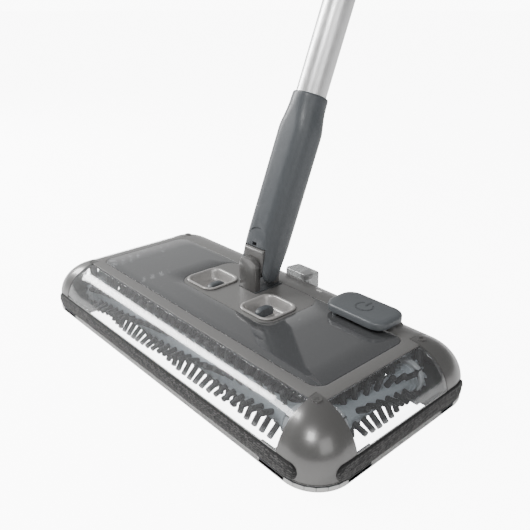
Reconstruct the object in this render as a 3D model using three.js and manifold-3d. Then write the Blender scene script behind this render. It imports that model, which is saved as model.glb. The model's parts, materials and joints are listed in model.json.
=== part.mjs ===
// A cordless carpet sweeper: a low head with a driven brush along each edge, a dust bin that empties
// through two floor doors, and a three-piece tube handle on a swivel. Millimetres, +Z up, -Y to the front.
// The origin is the middle of the centre skid, on the floor under the handle.
import * as THREE from "three";
import { mergeVertices } from "three/addons/utils/BufferGeometryUtils.js";
import Module from "manifold-3d";

const wasm = await Module();
wasm.setup();

// ---- Driving dimensions -------------------------------------------------------------------------
const gap = 0.3; // between pieces that touch

const roller = {
  core: 9, // radii of the core, the bristle tips, the end flange and the journal
  bristle: 17.4,
  flange: 11,
  journal: 5,
  flangeWidth: 2,
  floorGap: 0.4, // bristle tips over the floor
  inset: 8.6, // bristle tips from their edge of the head
  rearInset: 11.6,
  rows: 4,
  strip: 2.2, // thickness of a bristle row
  endPlay: 0.5,
};
const head = {
  length: 316, // along X, without the bumpers
  depth: 156, // along Y, without the bumpers
  height: 2 * roller.bristle + roller.floorGap + 4.8, // top plate over the floor
  springLine: 12, // where the rounded edge begins
  sideSweep: roller.bristle + 14.6, // how far the rounding reaches in, at the ends
  frontSweep: roller.bristle + 14.6, // and at the front
  rearSweep: roller.bristle + 20.6, // and at the back
  frontCorner: 24, // plan radius of the front corners at the floor
  rearCorner: 30, // and of the rear ones
  wall: 2,
  capWall: 3,
};
const frame = {
  frontEdge: head.frontSweep - 7, // how far the front window reaches in from the front
  sideEdge: head.sideSweep - 8.5, // and the side windows
  rearEdge: head.rearSweep - 24, // and the rear window
  openingSide: head.sideSweep + 0.5, // how far in the clear top starts, at the ends
  openingFront: head.frontSweep + 1.5, // at the front
  openingRear: head.rearSweep + 1.5, // and at the back
  openingRadius: 9,
};
const halfX = head.length / 2;
const halfY = head.depth / 2;
const poleX = halfX - head.sideSweep; // where the flat top ends and the rounded edges begin
const poleFront = -(halfY - head.frontSweep);
const poleRear = halfY - head.rearSweep;
const axisZ = roller.bristle + roller.floorGap;
const sideX = halfX - roller.bristle - roller.inset; // axes of the side, front and rear rollers
const frontY = -halfY + roller.bristle + roller.inset;
const rearY = halfY - roller.bristle - roller.rearInset;
const shelfRear = rearY - roller.bristle - 1; // shelves stop short of the bristles
const base = {
  bottom: 2,
  top: 4.5,
  lip: 0.8,
  skirt: 2.2,
  footRadius: 5,
  footInset: 15,
  brushRoom: 1, // between the bristles and the sides of the floor's openings
};
const bumper = { bottom: 4.8, top: 16, proud: 2, sunk: 1, endInset: 16, endRadius: 5 };
const bevel = { back: 11.5, face: 4.5, teeth: 12, addendum: 1, dedendum: 1.5 };
const post = { half: 8.5, top: axisZ + 8.2 };
const bristleX = sideX - roller.bristle; // where the bristles of the right brush begin
const gearBay = { inner: bristleX - 14.2, outer: bristleX - 3.4, wall: 2 }; // its two walls, along X
const bin = {
  halfLength: gearBay.inner - 3.4,
  halfDepth: rearY - roller.bristle - 4.6,
  lip: 15, // height of the ramps
  clearance: 1, // between the bristle tips and the ramps
  keel: 16,
};
const door = { thickness: 2.4, barrel: 2.4, pin: 1.2, pinGap: 0.3, hingeRise: 4.2, hingeOut: 2.5, lug: 4.7 };
const shelf = { top: axisZ - 0.8, thickness: 2, front: shelfRear - 19.1 };
const cup = {
  x: 32.5,
  y: shelf.front - 9.5,
  half: 16.3,
  radius: 8,
  depth: 7.5,
  rimRise: 1.2,
  floor: 1.6,
  slope: 4, // how far the walls lean in towards the floor
  wall: 1.1,
};
const plate = { halfLength: 51, front: cup.y - 20, rear: poleRear - 2, radius: 12, thickness: 2.5 };
const latch = {
  x: 28.5,
  finLength: 15,
  finThickness: 4,
  finRise: 7.2,
  stem: 3,
  stemWidth: 12,
  footTop: 15,
  travel: 2.1,
  slotGap: 0.8,
  spring: 2.4, // radius of its coil
  springPost: 6, // half width of the block between the two springs
  springZ: 11,
};
const wire = 0.8;
const swivel = {
  y: plate.rear - 14,
  rise: 16.5, // pivot over the top plate
  barrel: 9.2,
  width: 19, // of the front ear
  rearWidth: 13,
  pin: 3,
  trunnion: 4,
  ear: 5.5,
  earGap: 16.6,
  foot: head.height - 8, // underside of the yoke over the floor
};
const handle = {
  tilt: 22.3, // degrees back from upright
  neckWidth: 32,
  neckDepth: 27,
  neckRadius: 11,
  neckShoulder: 105, // from the pivot, up the handle
  neckTop: 131,
  leg: 5.9, // thickness of each leg of the fork
  legDepth: 15,
  legDrop: 8.5, // rounded end below the pivot
  slotTop: 19,
  tube: 11.5,
  tubeWall: 0.9,
  socket: 34, // how far a tube sits in the piece below it
  joints: [400, 690], // tops of the lower and the middle tube
  top: 980, // top of the upper tube
  button: 3,
  buttonProud: 1.4,
  grip: 15,
  gripLength: 125,
  gripOverlap: 45, // how far the grip comes down over the top tube
};
const pedal = {
  x0: gearBay.inner - 38.4,
  x1: gearBay.inner + 12.6,
  y0: shelfRear - 4.1,
  y1: shelfRear + 26.4,
  radius: 10,
  rise: 3, // underside over the top plate
  thickness: 5.5,
  stem: 1.5, // radius of the stem and of the guide
  stemAt: [gearBay.inner - 28.9, shelfRear - 1.2],
  guideAt: [gearBay.inner + 5.6, shelfRear + 19.4],
  coilAt: [gearBay.inner - 12.4, shelfRear + 11.4],
  coil: 2.6,
};
const lamp = { x0: 32.5, x1: 38.5, y0: halfY - 20.6, y1: halfY - 17.6 };
const motor = {
  x0: gearBay.inner - 24.4,
  x1: gearBay.inner - 2.4,
  y: shelfRear - 9.6,
  z: axisZ + 9,
  radius: 7.5,
  shaft: 1.5,
  wall: 1.4, // of its cover
};
const battery = { x0: -bin.halfLength - 6, length: 46, cell: 5.3 };
const gears = {
  roller: 22, // numbers of teeth, module 1
  idler: 18,
  pinion: 10,
  x0: gearBay.inner + 4.1,
  width: 5,
  addendum: 0.7,
  dedendum: 1.1,
  axle: 2,
};
const port = {
  x0: -9,
  x1: 18,
  y0: halfY - 21,
  y1: halfY - 4,
  bottom: head.height - 16,
  rise: 3.5, // over the top plate
  hole: 2.75,
  jack: 3.95, // outer radius
  drop: 4.4, // axis of the socket below the top plate
};
const screw = { head: 3, headDepth: 1.6, shank: 1.4, bore: 1.7 };

const under = head.height - head.wall; // underside of the top
const quarter = Math.PI / 2;
const rollerEnd = roller.bristle - 0.9; // each brush stops this far from where two axes cross
const postThickness = rollerEnd - bevel.back - 2 * roller.endPlay;
const pivotZ = head.height + swivel.rise;
const pedalBottom = head.height + pedal.rise;

// ---- Shape tools --------------------------------------------------------------------------------
function solid(geometry) {
  const bare = (geometry.index ? geometry.toNonIndexed() : geometry.clone());
  bare.deleteAttribute("normal");
  bare.deleteAttribute("uv");
  const merged = mergeVertices(bare, 1e-4);
  return new wasm.Manifold(
    new wasm.Mesh({
      numProp: 3,
      vertProperties: new Float32Array(merged.attributes.position.array),
      triVerts: new Uint32Array(merged.index.array),
    }),
  );
}

function geometryOf(manifold) {
  const mesh = manifold.getMesh();
  const points = new Float32Array(mesh.numVert * 3);
  for (let i = 0; i < mesh.numVert; i++) {
    points.set(mesh.vertProperties.subarray(i * mesh.numProp, i * mesh.numProp + 3), i * 3);
  }
  return new THREE.BufferGeometry()
    .setAttribute("position", new THREE.BufferAttribute(points, 3))
    .setIndex(new THREE.BufferAttribute(mesh.triVerts, 1));
}

const join = (...parts) => parts.reduce((a, b) => a.add(b));
const cut = (a, ...tools) => tools.reduce((left, tool) => left.subtract(tool), a);

function box(x0, x1, y0, y1, z0, z1) {
  const geometry = new THREE.BoxGeometry(x1 - x0, y1 - y0, z1 - z0);
  return solid(geometry.translate((x0 + x1) / 2, (y0 + y1) / 2, (z0 + z1) / 2));
}

// A cylinder between two places along an axis, "x", "y" or "z"; at gives the other two coordinates.
function rod(axis, from, to, radius, at, sides = 20, endRadius = radius) {
  const geometry = new THREE.CylinderGeometry(endRadius, radius, to - from, sides);
  geometry.translate(0, (to + from) / 2, 0);
  if (axis === "x") geometry.rotateZ(-quarter).translate(0, at[0], at[1]);
  if (axis === "y") geometry.translate(at[0], 0, at[1]);
  if (axis === "z") geometry.rotateX(quarter).translate(at[0], at[1], 0);
  return solid(geometry);
}

// A closed body through convex rings of equal length, each a list of Vector3, lowest ring first.
function loft(rings) {
  const points = rings.flat();
  const n = rings[0].length;
  const faces = [];
  for (let r = 0; r + 1 < rings.length; r++) {
    for (let i = 0; i < n; i++) {
      const a = r * n + i;
      const b = r * n + ((i + 1) % n);
      faces.push(a, b, b + n, a, b + n, a + n);
    }
  }
  const top = (rings.length - 1) * n;
  for (let i = 1; i + 1 < n; i++) {
    faces.push(0, i + 1, i, top, top + i, top + i + 1);
  }
  return solid(new THREE.BufferGeometry().setFromPoints(points).setIndex(faces));
}

// Points round a rectangle with its own radius at the front (-Y) and rear corners.
function roundedOutline(x0, x1, y0, y1, frontRadius, rearRadius = frontRadius, steps = 6) {
  const corners = [
    [x1 - frontRadius, y0 + frontRadius, frontRadius, -quarter],
    [x1 - rearRadius, y1 - rearRadius, rearRadius, 0],
    [x0 + rearRadius, y1 - rearRadius, rearRadius, quarter],
    [x0 + frontRadius, y0 + frontRadius, frontRadius, 2 * quarter],
  ];
  const outline = [];
  for (const [cx, cy, radius, start] of corners) {
    for (let i = 0; i <= steps; i++) {
      const angle = start + (quarter * i) / steps;
      outline.push(new THREE.Vector2(cx + radius * Math.cos(angle), cy + radius * Math.sin(angle)));
    }
  }
  return outline;
}

const atHeight = (outline, z) => outline.map((p) => new THREE.Vector3(p.x, p.y, z));
const slab = (outline, z0, z1) => loft([atHeight(outline, z0), atHeight(outline, z1)]);

// The head's outer form, taken in by an inset: upright below the spring line, rounded over to the top.
function headForm(inset, bottom) {
  const least = 0.6;
  const steps = 8;
  const section = (angle, z) => {
    const side = inset + (head.sideSweep - inset) * (1 - Math.cos(angle));
    const front = inset + (head.frontSweep - inset) * (1 - Math.cos(angle));
    const rear = inset + (head.rearSweep - inset) * (1 - Math.cos(angle));
    const frontRadius = Math.max(least, (head.frontCorner - inset) * Math.cos(angle));
    const rearRadius = Math.max(least, (head.rearCorner - inset) * Math.cos(angle));
    const outline = roundedOutline(
      -halfX + side, halfX - side, -halfY + front, halfY - rear, frontRadius, rearRadius,
    );
    return atHeight(outline, z);
  };
  const rings = [section(0, bottom)];
  for (let i = 0; i <= steps; i++) {
    const angle = (quarter * i) / steps;
    rings.push(section(angle, head.springLine + (head.height - head.springLine - inset) * Math.sin(angle)));
  }
  return loft(rings);
}

const planOutline = (inset) => roundedOutline(
  -halfX + inset, halfX - inset, -halfY + inset, halfY - inset,
  head.frontCorner - inset, head.rearCorner - inset,
);
// An upright band that follows the head's plan, between two insets.
const planBand = (outer, inner, z0, z1) => (
  cut(slab(planOutline(outer), z0, z1), slab(planOutline(inner), z0 - 1, z1 + 1))
);

const headShell = (wall) => cut(headForm(0, base.top), headForm(wall, base.top - 5));

// ---- Root group and materials -------------------------------------------------------------------
const root = new THREE.Group();
const look = (color, roughness, metalness = 0) => (
  new THREE.MeshStandardMaterial({ color, roughness, metalness })
);
const finish = {
  smokeFrame: look(0x7d7c78, 0.45),
  clear: look(0x9aa0a3, 0.08),
  cap: look(0x6f6e6c, 0.35, 0.3),
  chassis: look(0x55585a, 0.5),
  felt: look(0x1d1d1d, 0.95),
  core: look(0x9aa5ab, 0.45),
  bristle: look(0x1b1d1e, 0.7),
  cupGrey: look(0xb5b3ae, 0.35),
  slate: look(0x50565a, 0.4),
  tube: look(0xd6d6d6, 0.35, 0.6),
  steel: look(0xa8a8a8, 0.3, 1),
  brass: look(0xb08d4a, 0.35, 1),
  board: look(0x1f5b38, 0.6),
  wrap: look(0x2b4f8f, 0.5),
  light: look(0xf2f2ee, 0.3),
};

function add(name, body, material, parent = root) {
  const mesh = new THREE.Mesh(geometryOf(body), material);
  mesh.name = name;
  parent.add(mesh);
}

// ---- Bumpers ------------------------------------------------------------------------------------
const sides = ["front", "rear", "left", "right"];
function bumperTool(side, clearance) {
  const band = planBand(
    -bumper.proud - clearance, bumper.sunk + clearance, bumper.bottom - clearance, bumper.top + clearance,
  );
  const middle = (bumper.top + bumper.bottom) / 2;
  const reach = side === "front" || side === "rear" ? halfX : halfY;
  const half = reach - bumper.endInset + clearance;
  // The strip's ends are rounded over its height.
  const face = roundedOutline(
    -half, half, bumper.bottom - middle - clearance, bumper.top - middle + clearance, bumper.endRadius,
  );
  const turns = { front: [90, 0, 0], rear: [-90, 0, 0], right: [90, 0, 90], left: [90, 0, -90] };
  return band.intersect(slab(face, 0, halfX + 20).rotate(turns[side]).translate([0, 0, middle]));
}
const bumperCuts = sides.map((side) => bumperTool(side, gap));
for (const side of sides) add("bumper_" + side, bumperTool(side, 0), finish.felt);

// ---- Corner caps and their screws ---------------------------------------------------------------
const capSplit = { x: poleX + 0.5, front: -poleFront + 0.2, rear: poleRear + 0.6 };
const corners = [
  { name: "front_left", sx: -1, sy: -1 },
  { name: "front_right", sx: 1, sy: -1 },
  { name: "rear_left", sx: -1, sy: 1 },
  { name: "rear_right", sx: 1, sy: 1 },
];
function cornerBox(corner, grow, bottom) {
  const x = [corner.sx * (capSplit.x + grow), corner.sx * 200].sort((a, b) => a - b);
  const inner = corner.sy < 0 ? capSplit.front : capSplit.rear;
  const y = [corner.sy * (inner + grow), corner.sy * 120].sort((a, b) => a - b);
  return box(x[0], x[1], y[0], y[1], bottom, head.height + 1);
}
// Each cap screw stands where the axes of two rollers cross, between their bevel gears.
const capScrewAt = (corner) => [
  corner.sx * (sideX - 1.5),
  (corner.sy < 0 ? frontY : rearY) - corner.sy * 1.5,
];
const capSeat = head.height - head.capWall + 0.9;
const crossHalf = [1.8, 0.4]; // half length and half width of the driver slots
const capShell = headShell(head.capWall);
for (const corner of corners) {
  const at = capScrewAt(corner);
  const seat = rod("z", capSeat, head.height + 1, screw.head + gap, at, 16);
  const through = rod("z", 20, head.height, screw.bore, at, 12);
  const cap = capShell.intersect(cornerBox(corner, gap / 2, base.top + gap));
  add("corner_cap_" + corner.name, cut(cap, ...bumperCuts, seat, through), finish.cap);
  const top = capSeat + gap + screw.headDepth;
  const turned = rod("z", capSeat + gap, top, screw.head, at, 16).add(
    rod("z", capSeat - 8, capSeat + gap + 0.1, screw.shank, at, 10),
  );
  const slots = [crossHalf, [...crossHalf].reverse()].map(([dx, dy]) => (
    box(at[0] - dx, at[0] + dx, at[1] - dy, at[1] + dy, top - wire, top + 1)
  ));
  add("cap_screw_" + corner.name, cut(turned, ...slots), finish.steel);
}

// ---- Windows, frame and clear top ---------------------------------------------------------------
const windowShell = headShell(head.wall);
const windowBottom = bumper.top + gap;
function windowBox(side, grow) {
  const x = capSplit.x + grow;
  const y0 = -capSplit.front - grow;
  const y1 = capSplit.rear + grow;
  const inner = {
    front: [-x, x, -120, -halfY + frame.frontEdge + grow],
    rear: [-x, x, halfY - frame.rearEdge - grow, 120],
    left: [-200, -halfX + frame.sideEdge + grow, y0, y1],
    right: [halfX - frame.sideEdge - grow, 200, y0, y1],
  };
  return box(...inner[side], windowBottom, head.height + 1);
}
// Section of the socket block, as pairs of y and z: its front underside slopes down to the rear wall.
const portProfile = [
  [port.y0, under - 1.5],
  [port.y1 - 8, under - 3.5],
  [port.y1 - 4.5, port.bottom],
  [port.y1, port.bottom],
  [port.y1, head.height + 1],
  [port.y1 - 2.5, head.height + port.rise],
  [port.y0, head.height + port.rise],
];
const portOpening = box(port.x0 - gap, port.x1 + gap, port.y0 - gap, 90, port.bottom - gap, 60);
for (const side of sides) {
  const pane = windowShell.intersect(windowBox(side, -gap / 2));
  add("window_" + side, side === "rear" ? cut(pane, portOpening) : pane, finish.clear);
}

const openingOutline = (grow) => roundedOutline(
  -halfX + frame.openingSide - grow, halfX - frame.openingSide + grow,
  -halfY + frame.openingFront - grow, halfY - frame.openingRear + grow, frame.openingRadius + grow,
);
const plateOutline = (grow) => roundedOutline(
  -plate.halfLength - grow, plate.halfLength + grow,
  plate.front - grow, plate.rear + grow, plate.radius + grow,
);
const pedalOutline = (grow) => roundedOutline(
  pedal.x0 - grow, pedal.x1 + grow, pedal.y0 - grow, pedal.y1 + grow, pedal.radius + grow,
);
const lampBox = (grow) => (
  box(lamp.x0 - grow, lamp.x1 + grow, lamp.y0 - grow, lamp.y1 + grow, 30, 60)
);

function topFrame() {
  const upper = windowShell.intersect(box(-200, 200, -120, 120, windowBottom, head.height + 1));
  const band = cut(
    upper,
    ...sides.map((side) => windowBox(side, gap / 2)),
    ...corners.map((corner) => cornerBox(corner, -gap / 2, 0)),
    slab(openingOutline(0), 0, head.height + 1),
  );
  const seat = slab(pedalOutline(0), under, head.height);
  const holes = [pedal.stemAt, pedal.guideAt].map((at) => rod("z", 30, 50, pedal.stem + 0.5, at, 14));
  return cut(band.add(seat), lampBox(gap), portOpening, ...holes);
}
add("top_frame", topFrame(), finish.smokeFrame);
add("charge_light", windowShell.intersect(lampBox(0)), finish.light);

const sheet = slab(openingOutline(-gap), under, head.height);
add(
  "clear_top",
  cut(sheet, slab(plateOutline(gap), 0, 60), slab(pedalOutline(gap), 0, 60)),
  finish.clear,
);

// ---- Handle plate, finger cups and bin latches --------------------------------------------------
const cupOutline = (grow, sx) => roundedOutline(
  sx * cup.x - cup.half - grow, sx * cup.x + cup.half + grow,
  cup.y - cup.half - grow, cup.y + cup.half + grow, cup.radius + grow / 2,
);
const yokeY = [swivel.y - swivel.earGap / 2 - swivel.ear, swivel.y + swivel.earGap / 2 + swivel.ear];
const yokeHalf = swivel.width / 2;
const plateSheet = slab(plateOutline(0), head.height - plate.thickness, head.height);
const yokeHole = box(-yokeHalf - gap, yokeHalf + gap, yokeY[0] - gap, yokeY[1] + gap, 0, 60);
// The plate's rear edge ends at the yoke, so its notch is open.
const cupHoles = [-1, 1].map((sx) => slab(cupOutline(gap - 2, sx), 0, 60));
add("handle_plate", cut(plateSheet, ...cupHoles, yokeHole), finish.chassis);

const cupFloor = head.height - cup.depth;
function fingerCup(sx) {
  const top = head.height + cup.rimRise;
  const stack = (grow, z0, z1) => loft([
    atHeight(cupOutline(grow - cup.slope, sx), z0),
    atHeight(cupOutline(grow - cup.slope / 2, sx), (z0 + z1) / 2 - 1),
    atHeight(cupOutline(grow, sx), z1),
  ]);
  const flange = slab(cupOutline(0, sx), head.height + gap, top);
  const inset = 2 + gap; // the dish hangs inside its flange
  const outside = stack(-inset, cupFloor - cup.floor, head.height + gap + 0.1);
  const dish = stack(-inset - cup.wall, cupFloor, top + 0.6);
  const near = latch.x - latch.stem / 2 - latch.travel - latch.slotGap;
  const far = latch.x + latch.stem / 2 + latch.slotGap;
  const x = [sx * near, sx * far].sort((a, b) => a - b);
  const half = latch.stemWidth / 2 + latch.slotGap;
  const slot = box(x[0], x[1], cup.y - half, cup.y + half, cupFloor - 5, cupFloor + 0.5);
  return cut(flange.add(outside), dish, slot);
}
const latchBottom = base.top + 1.5;
function binLatch(sx) {
  const x = sx * latch.x;
  const half = latch.finLength / 2;
  const outline = [new THREE.Vector2(-half, 0)];
  const steps = 8;
  for (let i = 0; i <= steps; i++) {
    const angle = Math.PI * (i / steps);
    outline.push(new THREE.Vector2(-half * Math.cos(angle), 0.8 + latch.finRise * Math.sin(angle) ** 0.55));
  }
  outline.push(new THREE.Vector2(half, 0));
  const tab = new THREE.ExtrudeGeometry(new THREE.Shape(outline), {
    depth: latch.finThickness, bevelEnabled: false, curveSegments: 1,
  });
  tab.rotateX(quarter).rotateZ(quarter).translate(x - latch.finThickness / 2, cup.y, cupFloor + gap);
  const stemHalf = latch.stemWidth / 2;
  const y = [cup.y - stemHalf, cup.y + stemHalf];
  const stem = box(x - latch.stem / 2, x + latch.stem / 2, ...y, latchBottom, cupFloor + 1);
  const wide = [cup.y - half + 0.5, cup.y + half - 0.5];
  const foot = box(
    x - latch.finThickness / 2, x + latch.finThickness / 2, ...wide, latchBottom, latch.footTop,
  );
  return join(solid(tab), stem, foot);
}

// A coil spring of square wire, from the plane z = 0 up.
class Coil extends THREE.Curve {
  constructor(radius, length, turns) {
    super();
    Object.assign(this, { radius, length, turns });
  }
  getPoint(t, target = new THREE.Vector3()) {
    const angle = 2 * Math.PI * this.turns * t;
    return target.set(this.radius * Math.cos(angle), this.radius * Math.sin(angle), this.length * t);
  }
}
function spring(radius, length, turns) {
  const half = wire / 2;
  const section = new THREE.Shape(
    [[-half, -half], [half, -half], [half, half], [-half, half]].map(([x, y]) => new THREE.Vector2(x, y)),
  );
  const path = new Coil(radius, length - wire * 1.5, turns);
  const wound = new THREE.ExtrudeGeometry(section, { steps: turns * 9, extrudePath: path, curveSegments: 1 });
  return wound.translate(0, 0, wire * 0.75);
}
for (const [sx, name] of [[-1, "left"], [1, "right"]]) {
  add("finger_cup_" + name, fingerCup(sx), finish.cupGrey);
  add("bin_latch_" + name, binLatch(sx), finish.slate);
  const length = latch.x - latch.finThickness / 2 - latch.springPost - 2 * gap;
  const coil = spring(latch.spring, length, 6)
    .rotateY(sx * quarter)
    .translate(sx * (latch.springPost + gap), cup.y, latch.springZ);
  add("latch_spring_" + name, solid(coil), finish.steel);
}

// ---- Yoke, swivel and handle --------------------------------------------------------------------
const middleBox = (y0, y1, half, z0, z1) => box(-half, half, y0, y1, z0, z1);
function yoke() {
  const foot = middleBox(yokeY[0], yokeY[1], yokeHalf, swivel.foot, head.height + 0.6);
  const ear = (y0, y1, half) => (
    middleBox(y0, y1, half, head.height, pivotZ).add(rod("y", y0, y1, half, [0, pivotZ], 28))
  );
  const ears = [
    ear(yokeY[0], yokeY[0] + swivel.ear, yokeHalf),
    ear(yokeY[1] - swivel.ear, yokeY[1], swivel.rearWidth / 2),
  ];
  const bore = rod("y", yokeY[0] - 1, yokeY[1] - 1.5, swivel.pin + 0.1, [0, pivotZ]);
  const seat = rod("z", head.height - 2, 60, screw.head + gap, [0, swivel.y], 16);
  return cut(join(foot, ...ears), bore, seat, rod("z", 20, 60, screw.bore, [0, swivel.y], 12));
}
add("handle_yoke", yoke(), finish.slate);
add(
  "yoke_screw",
  rod("z", head.height - 2 + gap, head.height - 0.3, screw.head, [0, swivel.y], 16)
    .add(rod("z", 22, head.height - 1.6, screw.shank, [0, swivel.y], 10)),
  finish.steel,
);
add("swivel_pin", rod("y", yokeY[0] + 0.4, yokeY[1] - 1.8, swivel.pin, [0, pivotZ]), finish.steel);

const legInner = handle.neckWidth / 2 - handle.leg;
const trunnionEnd = handle.neckWidth / 2 - 2;
const barrelY = [swivel.y - swivel.earGap / 2 + gap, swivel.y + swivel.earGap / 2 - gap];
const knuckle = rod("y", ...barrelY, swivel.barrel, [0, pivotZ], 28).add(
  rod("x", -trunnionEnd, trunnionEnd, swivel.trunnion, [swivel.y, pivotZ]),
);
add("swivel_knuckle", cut(knuckle, rod("y", 0, 50, swivel.pin + gap, [0, pivotZ])), finish.slate);

// Handle pieces are made upright over the pivot, then leaned back.
const lean = (body) => body.rotate([-handle.tilt, 0, 0]).translate([0, swivel.y, pivotZ]);
const neckOutline = (width, depth, radius) => (
  roundedOutline(-width / 2, width / 2, -depth / 2, depth / 2, radius)
);
function neck() {
  const w = handle.neckWidth;
  const d = handle.neckDepth;
  const collar = 2 * handle.tube + 4;
  const body = loft([
    atHeight(neckOutline(w, handle.legDepth, 4), 0),
    atHeight(neckOutline(w, d - 3, handle.neckRadius - 3), handle.slotTop - 4),
    atHeight(neckOutline(w, d, handle.neckRadius), handle.slotTop + 6),
    atHeight(neckOutline(w, d, handle.neckRadius), handle.neckShoulder),
    atHeight(neckOutline(w - 2, d - 0.6, handle.neckRadius + 1), handle.neckShoulder + 7),
    atHeight(neckOutline(w - 4.5, collar - 0.2, collar / 2 - 0.3), handle.neckTop - 7),
    atHeight(neckOutline(collar + 0.2, collar - 0.4, collar / 2 - 0.3), handle.neckTop - 3),
    atHeight(neckOutline(collar - 0.4, collar - 0.6, collar / 2 - 0.4), handle.neckTop),
  ]);
  // The legs end in a half round about the pivot.
  const ends = [80, 62, 44, 24, 0].map((degrees) => {
    const angle = THREE.MathUtils.degToRad(degrees);
    const depth = Math.max(3, handle.legDepth * Math.cos(angle));
    const outline = neckOutline(w - 3 * Math.sin(angle), depth, Math.min(4, depth / 2 - 0.2));
    return atHeight(outline, -handle.legDrop * Math.sin(angle));
  });
  const bottom = loft([...ends, atHeight(neckOutline(w, handle.legDepth, 4), 0.01)]);
  const slot = box(-legInner, legInner, -30, 30, -30, handle.slotTop);
  const bearing = rod("x", -trunnionEnd - gap, trunnionEnd + gap, swivel.trunnion + gap, [0, 0]);
  const socket = rod("z", handle.neckTop - handle.socket - gap, 200, handle.tube + gap, [0, 0], 28);
  return cut(body.add(bottom), slot, bearing, socket);
}
add("handle_neck", lean(neck()), finish.slate);

const tubeNames = ["tube_lower", "tube_middle", "tube_upper"];
const tubeStarts = [handle.neckTop - handle.socket, handle.joints[0] + gap, handle.joints[1] + gap];
const tubeEnds = [...handle.joints, handle.top];
const plug = handle.tube - handle.tubeWall - gap;
const tubeRod = (z0, z1, radius) => rod("z", z0, z1, radius, [0, 0], 24);
const buttonHeight = (joint) => joint - handle.socket / 2;
// Each button presses into the plug from the back of the handle.
const buttonHole = (joint) => rod("y", -30, 0, handle.button + gap, [0, buttonHeight(joint)], 14);
for (const [i, name] of tubeNames.entries()) {
  let tube = tubeRod(tubeStarts[i], tubeEnds[i], handle.tube);
  let bore = tubeRod(tubeStarts[i] - 1, tubeEnds[i] + 1, handle.tube - handle.tubeWall);
  const holes = i < 2 ? [buttonHole(handle.joints[i])] : [];
  if (i > 0) {
    // The lower end is swaged to plug into the tube below.
    const end = tubeStarts[i] - handle.socket;
    tube = tube.add(tubeRod(end, tubeStarts[i] + 0.5, plug));
    bore = tubeRod(end - 1, tubeStarts[i] + 2, plug - handle.tubeWall).add(
      tubeRod(tubeStarts[i] + 1.9, tubeEnds[i] + 1, handle.tube - handle.tubeWall),
    );
    holes.push(buttonHole(handle.joints[i - 1]));
  }
  add(name, lean(cut(tube, bore, ...holes)), finish.tube);
}
for (const [i, name] of ["tube_button_lower", "tube_button_middle"].entries()) {
  const z = buttonHeight(handle.joints[i]);
  const inside = plug - handle.tubeWall;
  const flange = rod("y", -inside + 1.2, -inside + 2.2, handle.button + 1.4, [0, z], 14);
  const face = -handle.tube - handle.buttonProud;
  add(name, lean(rod("y", face, -inside + 1.3, handle.button, [0, z], 14).add(flange)), finish.slate);
}

function grip() {
  const start = handle.top - handle.gripOverlap;
  const end = start + handle.gripLength;
  const r = handle.grip;
  const waist = [[r - 1.5, 0], [r, 6], [r, 40], [r - 1.2, 70], [r, 100], [r - 0.5, 117]];
  const hold = [[0, 0], ...waist, [r - 5, handle.gripLength], [0, handle.gripLength]];
  const profile = hold.map(([x, z]) => new THREE.Vector2(x, start + z));
  const sleeve = solid(new THREE.LatheGeometry(profile, 20).rotateX(quarter));
  const loopOut = slab(roundedOutline(-11, 11, -6, 22, 9), -3.5, 3.5);
  const loopHole = slab(roundedOutline(-6, 6, 2, 17, 5), -5, 5);
  const loop = cut(loopOut, loopHole).rotate([90, 0, 0]).translate([0, 0, end]);
  return cut(sleeve.add(loop), tubeRod(start - 1, handle.top + gap, handle.tube + gap));
}
add("handle_grip", lean(grip()), finish.slate);

// ---- Pedal and its switch -----------------------------------------------------------------------
const pedalTop = pedalBottom + pedal.thickness;
const coilPocket = pedalBottom + 2.6;
const crown = loft([
  atHeight(pedalOutline(0), pedalBottom),
  atHeight(pedalOutline(0), pedalTop - 1.6),
  atHeight(pedalOutline(-0.5), pedalTop - 0.6),
  atHeight(pedalOutline(-1.6), pedalTop),
]);
add(
  "power_pedal",
  cut(
    join(
      crown, rod("z", under - 5.8, pedalBottom + 1, pedal.stem, pedal.stemAt, 12),
      rod("z", head.height - 1.6, pedalBottom + 1, pedal.stem, pedal.guideAt, 12),
    ),
    rod("z", pedalBottom - 1, coilPocket, 4, pedal.coilAt, 16),
  ),
  finish.slate,
);
add(
  "pedal_spring",
  solid(spring(pedal.coil, coilPocket - head.height - 2 * gap, 3)
    .translate(pedal.coilAt[0], pedal.coilAt[1], head.height + gap)),
  finish.steel,
);
const switchTop = shelf.top + 9.5;
add(
  "power_switch",
  box(pedal.x0 - 1, pedal.x0 + 11, shelfRear - 9.1, shelfRear - 0.2, shelf.top + gap, switchTop)
    .add(rod("z", switchTop - 0.5, under - 9, 1, [pedal.stemAt[0], pedal.stemAt[1] - 0.6], 10)),
  finish.felt,
);

// ---- Battery, circuit board and charging socket -------------------------------------------------
const packY = shelfRear - 2 * battery.cell - 0.4;
const packZ = shelf.top + gap + battery.cell;
const cells = [-1, 1].map((side) => rod(
  "x", battery.x0, battery.x0 + battery.length, battery.cell + 0.15,
  [packY + side * battery.cell + 0.2, packZ], 14,
));
const upperCells = cells.map((cell) => cell.translate([0, 0, 1.8 * battery.cell]));
add("battery_pack", join(...cells, ...upperCells), finish.wrap);

const boardX = pedal.x0 - 40;
const board = box(boardX, boardX + 33, shelf.front + 0.8, shelfRear - 0.6, shelf.top + gap, shelf.top + 1.9);
const chip = (x0, x1, y0, y1, tall) => (
  box(boardX + x0, boardX + x1, shelf.front + y0, shelf.front + y1, shelf.top + 1.5, shelf.top + tall)
);
const chips = [chip(5, 12, 4.5, 13.5, 4), chip(16, 20, 2.5, 6.5, 6.5), chip(24, 30, 3.5, 10.5, 5)];
add("circuit_board", join(board, ...chips), finish.board);

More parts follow.
